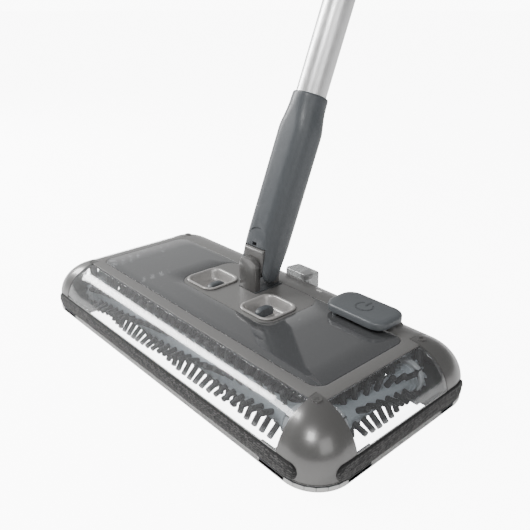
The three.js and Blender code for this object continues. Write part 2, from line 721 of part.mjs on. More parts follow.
const portShape = new THREE.Shape(portProfile.map(([y, z]) => new THREE.Vector2(y, z)));
const portMiddle = (port.x0 + port.x1) / 2;
const jackZ = head.height - port.drop;
const portBlock = new THREE.ExtrudeGeometry(portShape, { depth: port.x1 - port.x0, bevelEnabled: false })
  .rotateX(quarter).rotateZ(quarter).translate(port.x0, 0, 0);
add(
  "charge_port",
  cut(solid(portBlock), rod("y", port.y1 - 7, port.y1 + 5, port.jack + gap, [portMiddle, jackZ])),
  finish.clear,
);
add(
  "charge_jack",
  cut(
    rod("y", port.y1 - 6.7, port.y1 - 0.2, port.jack, [portMiddle, jackZ]),
    rod("y", port.y1 - 5.5, port.y1 + 1, port.hole, [portMiddle, jackZ]),
  ).add(rod("y", port.y1 - 6, port.y1 - 1, 0.7, [portMiddle, jackZ], 10)),
  finish.felt,
);

// ---- Motor and gear train -----------------------------------------------------------------------
const upward = new THREE.Vector3(0, 0, 1);
// Teeth with straight flanks round an axis along Z; scale shrinks the far end, for a bevel gear.
function toothRing(teeth, pitch, addendum, dedendum, z0, z1, scale, phase) {
  const width = (2 * Math.PI * pitch) / teeth;
  const pitchHalf = 0.2 * width;
  const slope = 0.42;
  const tip = Math.max(0.25, pitchHalf - slope * addendum);
  const rootHalf = pitchHalf + slope * dedendum;
  const inner = pitch - dedendum - 0.4;
  const outer = pitch + addendum;
  const tooth = [[inner, -rootHalf], [outer, -tip], [outer, tip], [inner, rootHalf]];
  const ring = [];
  for (let i = 0; i < teeth; i++) {
    const angle = phase + (2 * Math.PI * i) / teeth;
    const end = (s, z) => tooth.map(([r, t]) => (
      new THREE.Vector3(s * r, s * t, z).applyAxisAngle(upward, angle)
    ));
    ring.push(loft([end(1, z0), end(scale, z1)]));
  }
  return ring;
}
const radiusOf = (teeth) => teeth / 2; // module 1
function spurGear(teeth, centre, phase, bore) {
  const pitch = radiusOf(teeth);
  const ring = toothRing(teeth, pitch, gears.addendum, gears.dedendum, 0, gears.width, 1, phase);
  const blank = rod("z", 0, gears.width, pitch - gears.dedendum, [0, 0], 24);
  const wheel = join(blank, ...ring);
  const bored = bore ? cut(wheel, rod("z", -1, gears.width + 1, bore, [0, 0])) : wheel;
  // Local X and Y become Y and Z.
  return bored.rotate([90, 0, 90]).translate([gears.x0, centre[0], centre[1]]);
}
const train = gearTrain();
// The idler sits where its distances to the roller's axis and the motor's axis both fit.
function gearTrain() {
  const play = 0.15;
  const from = new THREE.Vector2(rearY, axisZ);
  const to = new THREE.Vector2(motor.y, motor.z);
  const a = radiusOf(gears.roller) + radiusOf(gears.idler) + play;
  const b = radiusOf(gears.pinion) + radiusOf(gears.idler) + play;
  const span = from.distanceTo(to);
  const forward = (a * a - b * b + span * span) / (2 * span);
  const aside = Math.sqrt(a * a - forward * forward);
  const unit = to.clone().sub(from).divideScalar(span);
  // Of the two places, the lower one stays under the top.
  const across = new THREE.Vector2(-unit.y, unit.x);
  const idler = from.clone().addScaledVector(unit, forward).addScaledVector(across, aside);
  return { rollerAxis: from, idler, motorAxis: to };
}
function meshPhase(from, to, teethFrom, phaseFrom, teethTo) {
  const direction = to.clone().sub(from).angle();
  const teethPassed = (direction - phaseFrom) / ((2 * Math.PI) / teethFrom);
  return direction + Math.PI + (teethPassed + 0.5) * ((2 * Math.PI) / teethTo);
}
const idlerPhase = meshPhase(train.rollerAxis, train.idler, gears.roller, 0, gears.idler);
const pinionPhase = meshPhase(train.idler, train.motorAxis, gears.idler, idlerPhase, gears.pinion);
const asArray = (v) => [v.x, v.y];
add("idler_gear", spurGear(gears.idler, asArray(train.idler), idlerPhase, gears.axle + gap), finish.light);
add(
  "idler_axle",
  rod("x", gearBay.inner + 0.4, gearBay.outer + 1.4, gears.axle, asArray(train.idler)),
  finish.steel,
);
add(
  "motor_pinion",
  spurGear(gears.pinion, asArray(train.motorAxis), pinionPhase, 0).add(
    rod("x", motor.x1 - 7, gears.x0 + 1, motor.shaft, [motor.y, motor.z]),
  ),
  finish.brass,
);
const motorCan = rod("x", motor.x0, motor.x1 - 2, motor.radius, [motor.y, motor.z], 28).add(
  rod("x", motor.x1 - 2.1, motor.x1, 3.4, [motor.y, motor.z], 16),
);
const shaftBore = rod("x", motor.x1 - 8, motor.x1 + 22, motor.shaft + gap, [motor.y, motor.z], 12);
add("motor", cut(motorCan, shaftBore), finish.steel);
const coverTop = under - 1.6;
const coverY = [shelf.front + 0.3, shelfRear - 0.2];
add(
  "motor_cover",
  cut(
    box(motor.x0 - 2, gearBay.inner - gap, ...coverY, shelf.top + gap, coverTop),
    box(
      motor.x0 - 2 + motor.wall, gearBay.inner + 20,
      coverY[0] + motor.wall, coverY[1] - motor.wall, 0, coverTop - motor.wall,
    ),
  ),
  finish.smokeFrame,
);

// ---- Brush rollers ------------------------------------------------------------------------------
function bristleRow(z0, z1, twist, start) {
  const steps = z1 - z0 > 100 ? 6 : 3;
  const rings = [];
  const half = roller.strip / 2;
  const foot = roller.core - 1;
  const outline = [[foot, -half], [roller.bristle, -half], [roller.bristle, half], [foot, half]];
  for (let i = 0; i <= steps; i++) {
    const angle = start + (twist * i) / steps;
    rings.push(outline.map(([r, t]) => (
      new THREE.Vector3(r, t, z0 + ((z1 - z0) * i) / steps).applyAxisAngle(upward, angle)
    )));
  }
  return loft(rings);
}
function bevelEnd(atZ, up, phase) {
  const shrink = 1 - bevel.face / bevel.back; // the cone's tip is where the two axes cross
  const ring = toothRing(
    bevel.teeth, bevel.back, bevel.addendum, bevel.dedendum, 0, bevel.face, shrink, phase,
  );
  const root = bevel.back - bevel.dedendum;
  const blank = rod("z", 0, bevel.face, root, [0, 0], bevel.teeth, root * shrink);
  const wheel = join(blank, ...ring);
  return (up ? wheel : wheel.mirror([0, 0, 1])).translate([0, 0, atZ]);
}
// A roller along Z between the crossings at z0 and z1; endZ1 is where its brushed part stops.
function brushRoller(z0, z1, phase, twist, brushEnd = z1 - rollerEnd) {
  const start = z0 + rollerEnd;
  const stop = z1 - rollerEnd;
  const flange = (a, b, radius) => rod("z", a, b, radius, [0, 0], 16);
  const rows = [];
  const clearEnds = roller.flangeWidth + 0.5;
  for (let i = 0; i < roller.rows; i++) {
    const turn = (2 * Math.PI * i) / roller.rows;
    rows.push(bristleRow(start + clearEnds, brushEnd - clearEnds, twist, turn));
  }
  return join(
    flange(start, brushEnd, roller.core),
    flange(start, start + roller.flangeWidth, roller.flange),
    flange(brushEnd - roller.flangeWidth, brushEnd, roller.flange),
    flange(z0 + bevel.back - 0.1, z1 - bevel.back + 0.1, roller.journal),
    flange(stop - roller.flangeWidth, stop, roller.journal + 2),
    ...rows, bevelEnd(z1 - bevel.back, true, phase), bevelEnd(z0 + bevel.back, false, phase),
  );
}
const toothGap = Math.PI / bevel.teeth;
const twistRate = 0.0062; // radians of bristle twist per millimetre
const longTwist = twistRate * 2 * (sideX - rollerEnd);
const frontBrush = brushRoller(-sideX, sideX, 0, longTwist)
  .rotate([90, 0, 90])
  .translate([0, frontY, axisZ]);
add("brush_front", frontBrush, finish.core);
const rearBrush = brushRoller(-sideX, sideX, 0, longTwist * 0.93, gearBay.inner - 1).rotate([90, 0, 90]);
const rollerGear = spurGear(gears.roller, [0, 0], 0, 0);
add("brush_rear", rearBrush.add(rollerGear).translate([0, rearY, axisZ]), finish.core);
for (const [sx, name] of [[-1, "left"], [1, "right"]]) {
  const body = brushRoller(frontY, rearY, toothGap, twistRate * (rearY - frontY - 2 * rollerEnd));
  add("brush_" + name, body.rotate([-90, 0, 0]).translate([sx * sideX, 0, axisZ]), finish.core);
}

// ---- Bin doors ----------------------------------------------------------------------------------
const hingeX = bin.halfLength + door.hingeOut;
const lugHalf = bin.halfDepth - door.lug + 1.6; // hinge lugs start this far from the centre line
for (const [sx, name] of [[-1, "left"], [1, "right"]]) {
  const flip = (body) => (sx < 0 ? body.mirror([1, 0, 0]) : body);
  const half = bin.halfDepth - 0.5;
  const z = [base.bottom, base.bottom + door.thickness];
  const leaf = join(
    box(bin.keel + 0.6, bin.halfLength - 0.8, -half, half, ...z),
    box(bin.halfLength - 1, hingeX, -lugHalf + 0.4, lugHalf - 0.4, ...z),
    rod("y", -lugHalf + 0.4, lugHalf - 0.4, door.barrel, [hingeX, door.hingeRise]),
  );
  const ribs = [-1, 0, 1].map((k) => (
    box(bin.keel + 4, bin.halfLength - 6, k * 14 - 0.8, k * 14 + 0.8, z[1] - 0.1, z[1] + 1)
  ));
  const pinBore = rod("y", -50, 50, door.pin + door.pinGap, [hingeX, door.hingeRise], 12);
  add("bin_door_" + name, flip(cut(join(leaf, ...ribs), pinBore)), finish.chassis);
  const pin = rod("y", -bin.halfDepth - 1, bin.halfDepth + 1, door.pin, [hingeX, door.hingeRise], 12);
  add("door_pin_" + name, flip(pin), finish.steel);
}

// ---- Chassis ------------------------------------------------------------------------------------
// The ramp that lifts dust into the bin follows the bristle tips; this is its section across the roller.
function rampSection() {
  const radius = roller.bristle + bin.clearance;
  const rise = (z) => Math.asin((z - axisZ) / radius);
  const points = [];
  const steps = 5;
  for (let i = 0; i <= steps; i++) {
    const angle = rise(base.top - 0.7) + ((rise(bin.lip) - rise(base.top - 0.7)) * i) / steps;
    points.push(new THREE.Vector2(radius * Math.cos(angle), axisZ + radius * Math.sin(angle)));
  }
  const lip = points[steps].x;
  points.push(new THREE.Vector2(lip + 1.8, bin.lip), new THREE.Vector2(lip + 2.6, base.top - 0.7));
  return new THREE.Shape(points);
}
// The section's own x points from the roller towards the bin.
function ramp(length) {
  const geometry = new THREE.ExtrudeGeometry(rampSection(), { depth: length, bevelEnabled: false });
  return solid(geometry.rotateX(quarter)).translate([0, length / 2, 0]);
}
function bearingPost(axis, crossing, direction, across) {
  const near = crossing + direction * (bevel.back + roller.endPlay);
  const ends = [near, near + direction * postThickness].sort((a, b) => a - b);
  const place = (half, grow, z0, z1) => {
    const span = [ends[0] - grow, ends[1] + grow];
    const side = [across - half, across + half];
    return axis === "x" ? box(...span, ...side, z0, z1) : box(...side, ...span, z0, z1);
  };
  const bore = rod(axis, ends[0] - 1, ends[1] + 1, roller.journal + gap, [across, axisZ], 24);
  return {
    block: place(post.half, 0, base.top - 1, post.top),
    cuts: [bore, place(roller.journal + gap, 1, axisZ, 60)], // open above, so the roller drops in
  };
}
function chassis() {
  const floor = slab(planOutline(-base.lip), base.bottom, base.top);
  const skirt = cut(
    planBand(0, base.skirt, base.top - 1, bumper.top),
    ...corners.map((c) => cornerBox(c, -gap / 2, base.top)),
    ...bumperCuts,
  );
  const half = Math.sqrt(roller.bristle ** 2 - (axisZ - base.top) ** 2) + base.brushRoom;
  const longX = sideX - rollerEnd - 1.5;
  const shortY = [frontY + rollerEnd + 1.5, rearY - rollerEnd - 1.5];
  const brushOpenings = [
    box(-longX, longX, frontY - half, frontY + half, 0, 60),
    box(-longX, longX, rearY - half, rearY + half, 0, 60),
    box(sideX - half, sideX + half, ...shortY, 0, 60),
    box(-sideX - half, -sideX + half, ...shortY, 0, 60),
  ];
  const doorOpenings = [];
  const lugSlots = [];
  const lugs = [];
  for (const sx of [-1, 1]) {
    const flip = (body) => (sx < 0 ? body.mirror([1, 0, 0]) : body);
    doorOpenings.push(flip(box(bin.keel, bin.halfLength, -bin.halfDepth, bin.halfDepth, 0, 60)));
    lugSlots.push(flip(box(bin.halfLength - 1, hingeX + door.barrel + 0.5, -lugHalf, lugHalf, 0, 60)));
    for (const sy of [-1, 1]) {
      const y = [sy * lugHalf, sy * (bin.halfDepth + 2)].sort((a, b) => a - b);
      lugs.push(flip(box(bin.halfLength, hingeX + 3, ...y, base.bottom, door.hingeRise + 2.8)));
    }
    lugSlots.push(flip(rod("y", -60, 60, door.pin + door.pinGap, [hingeX, door.hingeRise], 12)
      .intersect(box(0, 200, -bin.halfDepth - 1.3, bin.halfDepth + 1.3, 0, 60))));
  }
  // The rear ramp ends at the gear bay.
  const rearRamp = [-bin.halfLength - 14, gearBay.inner - 0.5];
  const rearMiddle = (rearRamp[0] + rearRamp[1]) / 2;
  const shortLength = shortY[1] - shortY[0];
  const shortMiddle = (shortY[0] + shortY[1]) / 2;
  const ramps = [
    ramp(2 * bin.halfLength + 26).rotate([0, 0, 90]).translate([0, frontY, 0]),
    ramp(rearRamp[1] - rearRamp[0]).rotate([0, 0, -90]).translate([rearMiddle, rearY, 0]),
    ramp(shortLength).rotate([0, 0, 180]).translate([sideX, shortMiddle, 0]),
    ramp(shortLength).translate([-sideX, shortMiddle, 0]),
  ];
  const posts = corners.flatMap((c) => [
    bearingPost("x", c.sx * sideX, -c.sx, c.sy < 0 ? frontY : rearY),
    bearingPost("y", c.sy < 0 ? frontY : rearY, -c.sy, c.sx * sideX),
  ]);
  const pillars = corners.map((c) => rod("z", base.top - 1, capSeat - 3.4, 3.2, capScrewAt(c), 12));
  const pillarBores = corners.map((c) => rod("z", capSeat - 10, 60, screw.bore, capScrewAt(c), 12));
  const footX = halfX - base.footInset * 2;
  const footY = halfY - base.footInset;
  const cornerFeet = corners.map((c) => [c.sx * footX, c.sy * footY]);
  const feet = [...cornerFeet, [0, 0]].map((c) => rod(
    "z", 0, base.bottom + 0.1, base.footRadius - 1.2, c, 20, base.footRadius,
  ));
  const keelPost = box(-7, 7, swivel.y - 12, swivel.y + 6, base.top - 1, swivel.foot - gap);
  const springSeat = box(
    -latch.springPost, latch.springPost, cup.y - 6, cup.y + 11, base.top - 1, latch.springZ + 5,
  );
  const shelves = [
    box(-5, gearBay.inner + 0.1, shelf.front, shelfRear, shelf.top - shelf.thickness, shelf.top),
    box(battery.x0 - 2, 5, shelf.front, shelfRear, shelf.top - shelf.thickness, shelf.top),
    box(gearBay.inner, gearBay.inner + gearBay.wall, shelf.front, shelfRear + 6, base.top - 1, under - 2),
    box(gearBay.outer, gearBay.outer + gearBay.wall, shelf.front + 6, shelfRear + 6, base.top - 1, axisZ + 9),
  ];
  const saddle = box(
    motor.x0 + 2, motor.x1 - 3, motor.y - 5, motor.y + 5, shelf.top - 1, motor.z - motor.radius - gap,
  );
  const stand = join(floor, skirt);
  const inside = join(
    ...ramps, ...posts.map((p) => p.block), ...pillars, keelPost, springSeat, ...shelves, saddle, ...lugs,
  );
  const opened = cut(stand, ...brushOpenings, ...doorOpenings).add(inside);
  return cut(
    join(opened, ...feet), ...posts.flatMap((p) => p.cuts), ...pillarBores, ...lugSlots,
    rod("z", 20, 60, screw.bore, [0, swivel.y], 12),
    rod("x", gearBay.inner - 1, gearBay.inner + 3, motor.shaft + 0.6, [motor.y, motor.z], 14),
    rod("x", gearBay.inner + 0.3, gearBay.outer + 1.5, gears.axle + 0.1, asArray(train.idler), 20),
  );
}
add("chassis", chassis(), finish.chassis);

export default root;
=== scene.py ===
# %% [markdown]
# # Cordless carpet sweeper
# A low sweeper head in smoke-grey plastic: clear panes over four bristle rollers, domed metallic corners,
# two silver finger cups with latches, a power pedal, and a slate swivel neck that holds an aluminium tube.
# The moving and load-bearing parts come from the CAD frame. The moulded skins, which the CAD draws with
# flats, are made again here as smooth surfaces in the same places.

import json
import math
import random

import bmesh
import bpy
import numpy as np
from mathutils import Matrix, Vector

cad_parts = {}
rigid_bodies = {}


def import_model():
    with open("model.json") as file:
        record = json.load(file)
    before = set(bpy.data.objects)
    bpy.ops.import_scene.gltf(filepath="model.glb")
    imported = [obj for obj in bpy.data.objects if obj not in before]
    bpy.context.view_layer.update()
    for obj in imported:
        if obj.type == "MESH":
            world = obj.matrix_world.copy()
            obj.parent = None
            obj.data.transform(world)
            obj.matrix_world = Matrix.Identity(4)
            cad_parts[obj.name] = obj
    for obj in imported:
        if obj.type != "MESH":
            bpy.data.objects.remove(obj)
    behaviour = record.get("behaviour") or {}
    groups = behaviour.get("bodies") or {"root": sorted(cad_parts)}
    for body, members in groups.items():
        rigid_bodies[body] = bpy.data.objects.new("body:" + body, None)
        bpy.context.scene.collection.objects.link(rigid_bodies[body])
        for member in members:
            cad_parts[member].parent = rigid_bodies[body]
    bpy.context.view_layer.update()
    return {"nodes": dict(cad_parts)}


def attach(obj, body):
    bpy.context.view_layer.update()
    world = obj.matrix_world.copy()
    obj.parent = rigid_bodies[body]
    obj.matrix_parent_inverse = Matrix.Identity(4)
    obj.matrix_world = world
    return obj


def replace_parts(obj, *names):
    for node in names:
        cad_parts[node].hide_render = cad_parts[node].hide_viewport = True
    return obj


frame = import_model()
MM = 0.001
TILT = math.radians(22.3)

# %% [markdown]
# ## The head's outer form
# The shell is one tool-made surface: an upright skirt, then a quarter-ellipse edge that rolls over to a flat
# top. Its height over any point of the plan is a formula, so every pane, cap and frame bar can be cut from
# the same surface and meet its neighbours exactly.

# %% Form of the head
HALF_X, HALF_Y, TOP, SPRING = 158.0, 78.0, 40.0, 12.0
SIDE, FRONT, REAR = 32.0, 32.0, 38.0
CORNER = {-1: 24.0, 1: 30.0}
SPLIT_X, SPLIT_Y = 126.5, {-1: 46.2, 1: 40.6}


def edge_height(inset, sweep):
    """Height of the shell at a distance in from one straight edge."""
    if inset >= sweep:
        return TOP
    c = 1 - max(inset, 0.0) / sweep
    return SPRING + (TOP - SPRING) * math.sqrt(max(0.0, 1 - c * c))


def shell_height(x, y):
    front = edge_height(HALF_Y + y, FRONT)
    rear = edge_height(HALF_Y - y, REAR)
    side = edge_height(HALF_X - abs(x), SIDE)
    return min(front, rear, side)


def corner_ring(sx, sy, angle, out=0.0, steps=(4, 18, 4)):
    """Points of one corner at one turn of the rounded edge, from the side split to the front or rear split."""
    sweep_y = FRONT if sy < 0 else REAR
    c = math.cos(angle)
    ex = HALF_X - SIDE * (1 - c) + out * c
    ey = HALF_Y - sweep_y * (1 - c) + out * c
    r = max(0.3, CORNER[sy] * c + out * c)
    cx, cy = ex - r, ey - r
    sx0, sy0 = SPLIT_X + 0.15, SPLIT_Y[sy] + 0.15
    pts = [(ex, sy0 + (max(cy, sy0) - sy0) * i / steps[0]) for i in range(steps[0])]
    pts += [(cx + r * math.cos(t), cy + r * math.sin(t)) for t in np.linspace(0, math.pi / 2, steps[1])]
    pts += [(sx0 + (max(cx, sx0) - sx0) * (1 - i / steps[2]), ey) for i in range(1, steps[2] + 1)]
    return [(sx * max(px, sx0), sy * max(py, sy0)) for px, py in pts]


# %% Mesh helpers
def obj_from(name, verts, faces, body="head", smooth=True):
    mesh = bpy.data.meshes.new(name)
    mesh.from_pydata([tuple(c * MM for c in v) for v in verts], [], faces)
    return finish_mesh(name, mesh, body, smooth)


def finish_mesh(name, mesh, body, smooth=True, angle=32):
    bm = bmesh.new()
    bm.from_mesh(mesh)
    bmesh.ops.remove_doubles(bm, verts=bm.verts, dist=1e-6)
    bmesh.ops.dissolve_degenerate(bm, dist=1e-7, edges=bm.edges)
    bmesh.ops.recalc_face_normals(bm, faces=bm.faces)
    for f in bm.faces:
        f.smooth = smooth
    for e in bm.edges:
        e.smooth = not (len(e.link_faces) == 2 and e.calc_face_angle(0) > math.radians(angle))
    bm.to_mesh(mesh)
    bm.free()
    obj = bpy.data.objects.new(name, mesh)
    bpy.context.collection.objects.link(obj)
    if body:
        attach(obj, body)
    return obj


def grid(rows, close_u=False, close_v=False):
    """Verts and faces through rows of points."""
    n = len(rows[0])
    verts = [p for row in rows for p in row]
    faces = []
    for i in range(len(rows) - (0 if close_v else 1)):
        for j in range(n - (0 if close_u else 1)):
            a, b = i * n + j, i * n + (j + 1) % n
            c = ((i + 1) % len(rows)) * n
            faces.append((a, b, c + (j + 1) % n, c + j))
    return verts, faces


def lofted(name, rings, body, smooth=True, angle=32):
    """A closed body through rings, with flat ends."""
    verts, faces = grid(rings, close_u=True)
    n = len(rings[0])
    faces.append(tuple(range(n))[::-1])
    last = (len(rings) - 1) * n
    faces.append(tuple(range(last, last + n)))
    mesh = bpy.data.meshes.new(name)
    mesh.from_pydata([tuple(c * MM for c in v) for v in verts], [], faces)
    return finish_mesh(name, mesh, body, smooth, angle)


def apply_modifiers(obj):
    graph = bpy.context.evaluated_depsgraph_get()
    mesh = bpy.data.meshes.new_from_object(obj.evaluated_get(graph))
    obj.modifiers.clear()
    obj.data = mesh


def thicken(obj, thickness, bevel=0.25, segments=2):
    """Gives an open skin a wall on its inner side and softens its rims."""
    wall = obj.modifiers.new("wall", "SOLIDIFY")
    wall.thickness = thickness * MM
    wall.offset = -1
    wall.use_even_offset = True
    if bevel:
        soft = obj.modifiers.new("soft", "BEVEL")
        soft.width = bevel * MM
        soft.segments = segments
        soft.limit_method = "ANGLE"
        soft.angle_limit = math.radians(50)
    return obj


def rounded(x0, x1, y0, y1, r, steps=8, r_top=None):
    """Outline of a rounded rectangle, counter-clockwise."""
    r_top = r if r_top is None else r_top
    pts = []
    for cx, cy, rr, start in ((x1 - r, y0 + r, r, -90), (x1 - r_top, y1 - r_top, r_top, 0),
                              (x0 + r_top, y1 - r_top, r_top, 90), (x0 + r, y0 + r, r, 180)):
        for i in range(steps + 1):
            t = math.radians(start + 90 * i / steps)
            pts.append((cx + rr * math.cos(t), cy + rr * math.sin(t)))
    return pts


def from_bmesh(bm, name, body, angle=32, smooth=True, place=None):
    if place is not None:
        bm.transform(place)
    mesh = bpy.data.meshes.new(name)
    bm.to_mesh(mesh)
    bm.free()
    return finish_mesh(name, mesh, body, smooth, angle)


def slab(name, outline, z0, z1, body="head", bevel=0.4, segments=3, place=None):
    """A flat outline extruded upwards, with softened edges."""
    bm = bmesh.new()
    face = bm.faces.new([bm.verts.new((x * MM, y * MM, z0 * MM)) for x, y in outline])
    grown = bmesh.ops.extrude_face_region(bm, geom=[face])
    top = [g for g in grown["geom"] if isinstance(g, bmesh.types.BMVert)]
    bmesh.ops.translate(bm, verts=top, vec=(0, 0, (z1 - z0) * MM))
    obj = from_bmesh(bm, name, body, place=place)
    if bevel:
        soft = obj.modifiers.new("soft", "BEVEL")
        soft.width = bevel * MM
        soft.segments = segments
        soft.limit_method = "ANGLE"
        soft.angle_limit = math.radians(50)
    return obj


def lathe(name, profile, body, place=None, steps=64, angle=32):
    """A turned body: a half section of (radius, height) pairs spun round Z."""
    bm = bmesh.new()
    verts = [bm.verts.new((0 if r < 0.02 else r * MM, 0, z * MM)) for r, z in profile]
    edges = [bm.edges.new(pair) for pair in zip(verts, verts[1:])]
    bmesh.ops.spin(bm, geom=verts + edges, cent=(0, 0, 0), axis=(0, 0, 1), angle=2 * math.pi, steps=steps,
                   use_merge=True)
    bmesh.ops.remove_doubles(bm, verts=bm.verts, dist=1e-7)
    return from_bmesh(bm, name, body, angle, place=place)


def carve(obj, tools, solver="EXACT"):
    for tool in tools:
        cut = obj.modifiers.new("cut", "BOOLEAN")
        cut.operation = "DIFFERENCE"
        cut.solver = solver
        cut.object = tool
    apply_modifiers(obj)
    for tool in tools:
        bpy.data.objects.remove(tool)
    soft = obj.modifiers.new("soft", "BEVEL")
    soft.width = 0.35 * MM
    soft.segments = 2
    soft.limit_method = "ANGLE"
    soft.angle_limit = math.radians(45)
    return obj


def lean(z_offset=0.0):
    """Place for handle pieces: made upright over the pivot, then leaned back."""
    return (Matrix.Translation((0, 24 * MM, 56.5 * MM)) @ Matrix.Rotation(-TILT, 4, "X")
            @ Matrix.Translation((0, 0, z_offset * MM)))


# %% [markdown]
# ## Finishes
# Moulded plastic is never one even colour: it has a fine spark-eroded grain, faint flow marks and hairline
# scuffs. Each finish below mixes a slow colour drift, a fine roughness grain and a shallow bump.

# %% Finishes
def new_material(name):
    mat = bpy.data.materials.new(name)
    mat.use_nodes = True
    nodes = mat.node_tree.nodes
    nodes.clear()
    out = nodes.new("ShaderNodeOutputMaterial")
    return mat, nodes, mat.node_tree.links, out


def noise(nodes, links, coords, scale, detail=4.0, stretch=None):
    tex = nodes.new("ShaderNodeTexNoise")
    tex.inputs["Scale"].default_value = scale
    tex.inputs["Detail"].default_value = detail
    if stretch:
        mapping = nodes.new("ShaderNodeMapping")
        mapping.inputs["Scale"].default_value = stretch
        links.new(coords.outputs["Object"], mapping.inputs["Vector"])
        links.new(mapping.outputs["Vector"], tex.inputs["Vector"])
    else:
        links.new(coords.outputs["Object"], tex.inputs["Vector"])
    return tex


def spread(nodes, links, source, low, high, start=0.35, end=0.65):
    ramp = nodes.new("ShaderNodeMapRange")
    ramp.inputs["From Min"].default_value = start
    ramp.inputs["From Max"].default_value = end
    ramp.inputs["To Min"].default_value = low
    ramp.inputs["To Max"].default_value = high
    links.new(source.outputs[0], ramp.inputs["Value"])
    return ramp


def plastic(name, color, roughness=0.4, metallic=0.0, grain=900, bump=0.06, drift=0.08, coat=0.0, scuff=0.1,
            transmission=0.0, alpha=1.0, ior=1.46, sheen=0.0):
    mat, nodes, links, out = new_material(name)
    coords = nodes.new("ShaderNodeTexCoord")
    shader = nodes.new("ShaderNodeBsdfPrincipled")
    shader.inputs["Metallic"].default_value = metallic
    shader.inputs["IOR"].default_value = ior
    shader.inputs["Coat Weight"].default_value = coat
    shader.inputs["Coat Roughness"].default_value = 0.08
    shader.inputs["Transmission Weight"].default_value = transmission
    shader.inputs["Alpha"].default_value = alpha
    shader.inputs["Sheen Weight"].default_value = sheen
    slow = noise(nodes, links, coords, 14, 3)
    mix = nodes.new("ShaderNodeMix")
    mix.data_type = "RGBA"
    mix.inputs[6].default_value = (*[c * (1 - drift) for c in color], 1)
    mix.inputs[7].default_value = (*[min(1, c * (1 + drift)) for c in color], 1)
    links.new(spread(nodes, links, slow, 0, 1).outputs[0], mix.inputs[0])
    links.new(mix.outputs[2], shader.inputs["Base Color"])
    scratches = noise(nodes, links, coords, 60, 6, (9.0, 1.0, 3.0))
    fine = noise(nodes, links, coords, grain, 2)
    rough = spread(nodes, links, scratches, roughness * (1 - scuff), roughness * (1 + 2 * scuff), 0.4, 0.75)
    links.new(rough.outputs[0], shader.inputs["Roughness"])
    height = nodes.new("ShaderNodeBump")
    height.inputs["Strength"].default_value = bump
    height.inputs["Distance"].default_value = 0.0004
    links.new(fine.outputs[0], height.inputs["Height"])
    links.new(height.outputs[0], shader.inputs["Normal"])
    links.new(shader.outputs[0], out.inputs[0])
    return mat


def smoke_clear(name, tint, density, haze, roughness=0.04, reflect=0.7):
    """Tinted pane: part of the light passes through, a little is scattered, and the skin reflects like gloss."""
    mat, nodes, links, out = new_material(name)
    coords = nodes.new("ShaderNodeTexCoord")
    through = nodes.new("ShaderNodeBsdfTransparent")
    slow = noise(nodes, links, coords, 9, 2)
    tone = nodes.new("ShaderNodeMix")
    tone.data_type = "RGBA"
    tone.inputs[6].default_value = (*[c * 0.97 for c in tint], 1)
    tone.inputs[7].default_value = (*[min(1, c * 1.03) for c in tint], 1)
    links.new(spread(nodes, links, slow, 0, 1).outputs[0], tone.inputs[0])
    links.new(tone.outputs[2], through.inputs["Color"])
    body = nodes.new("ShaderNodeBsdfPrincipled")
    body.inputs["Base Color"].default_value = (*haze, 1)
    body.inputs["Specular IOR Level"].default_value = 0.0
    hair = noise(nodes, links, coords, 40, 8, (14.0, 1.0, 2.0))
    links.new(spread(nodes, links, hair, 0.5, 0.7, 0.5, 0.8).outputs[0], body.inputs["Roughness"])
    gloss = nodes.new("ShaderNodeBsdfPrincipled")
    gloss.inputs["Base Color"].default_value = (1, 1, 1, 1)
    gloss.inputs["Metallic"].default_value = 1.0
    links.new(spread(nodes, links, hair, roughness, roughness * 1.6, 0.5, 0.8).outputs[0], gloss.inputs["Roughness"])
    facing = nodes.new("ShaderNodeLayerWeight")
    facing.inputs["Blend"].default_value = 0.5
    steep = nodes.new("ShaderNodeMath")
    steep.operation = "POWER"
    steep.inputs[1].default_value = 4.0
    links.new(facing.outputs["Facing"], steep.inputs[0])
    weight = spread(nodes, links, steep, 0.07, reflect, 0.0, 1.0)
    sheet = nodes.new("ShaderNodeMixShader")
    sheet.inputs[0].default_value = density
    links.new(through.outputs[0], sheet.inputs[1])
    links.new(body.outputs[0], sheet.inputs[2])
    mix = nodes.new("ShaderNodeMixShader")
    links.new(weight.outputs[0], mix.inputs[0])
    links.new(sheet.outputs[0], mix.inputs[1])
    links.new(gloss.outputs[0], mix.inputs[2])
    links.new(mix.outputs[0], out.inputs[0])
    return mat


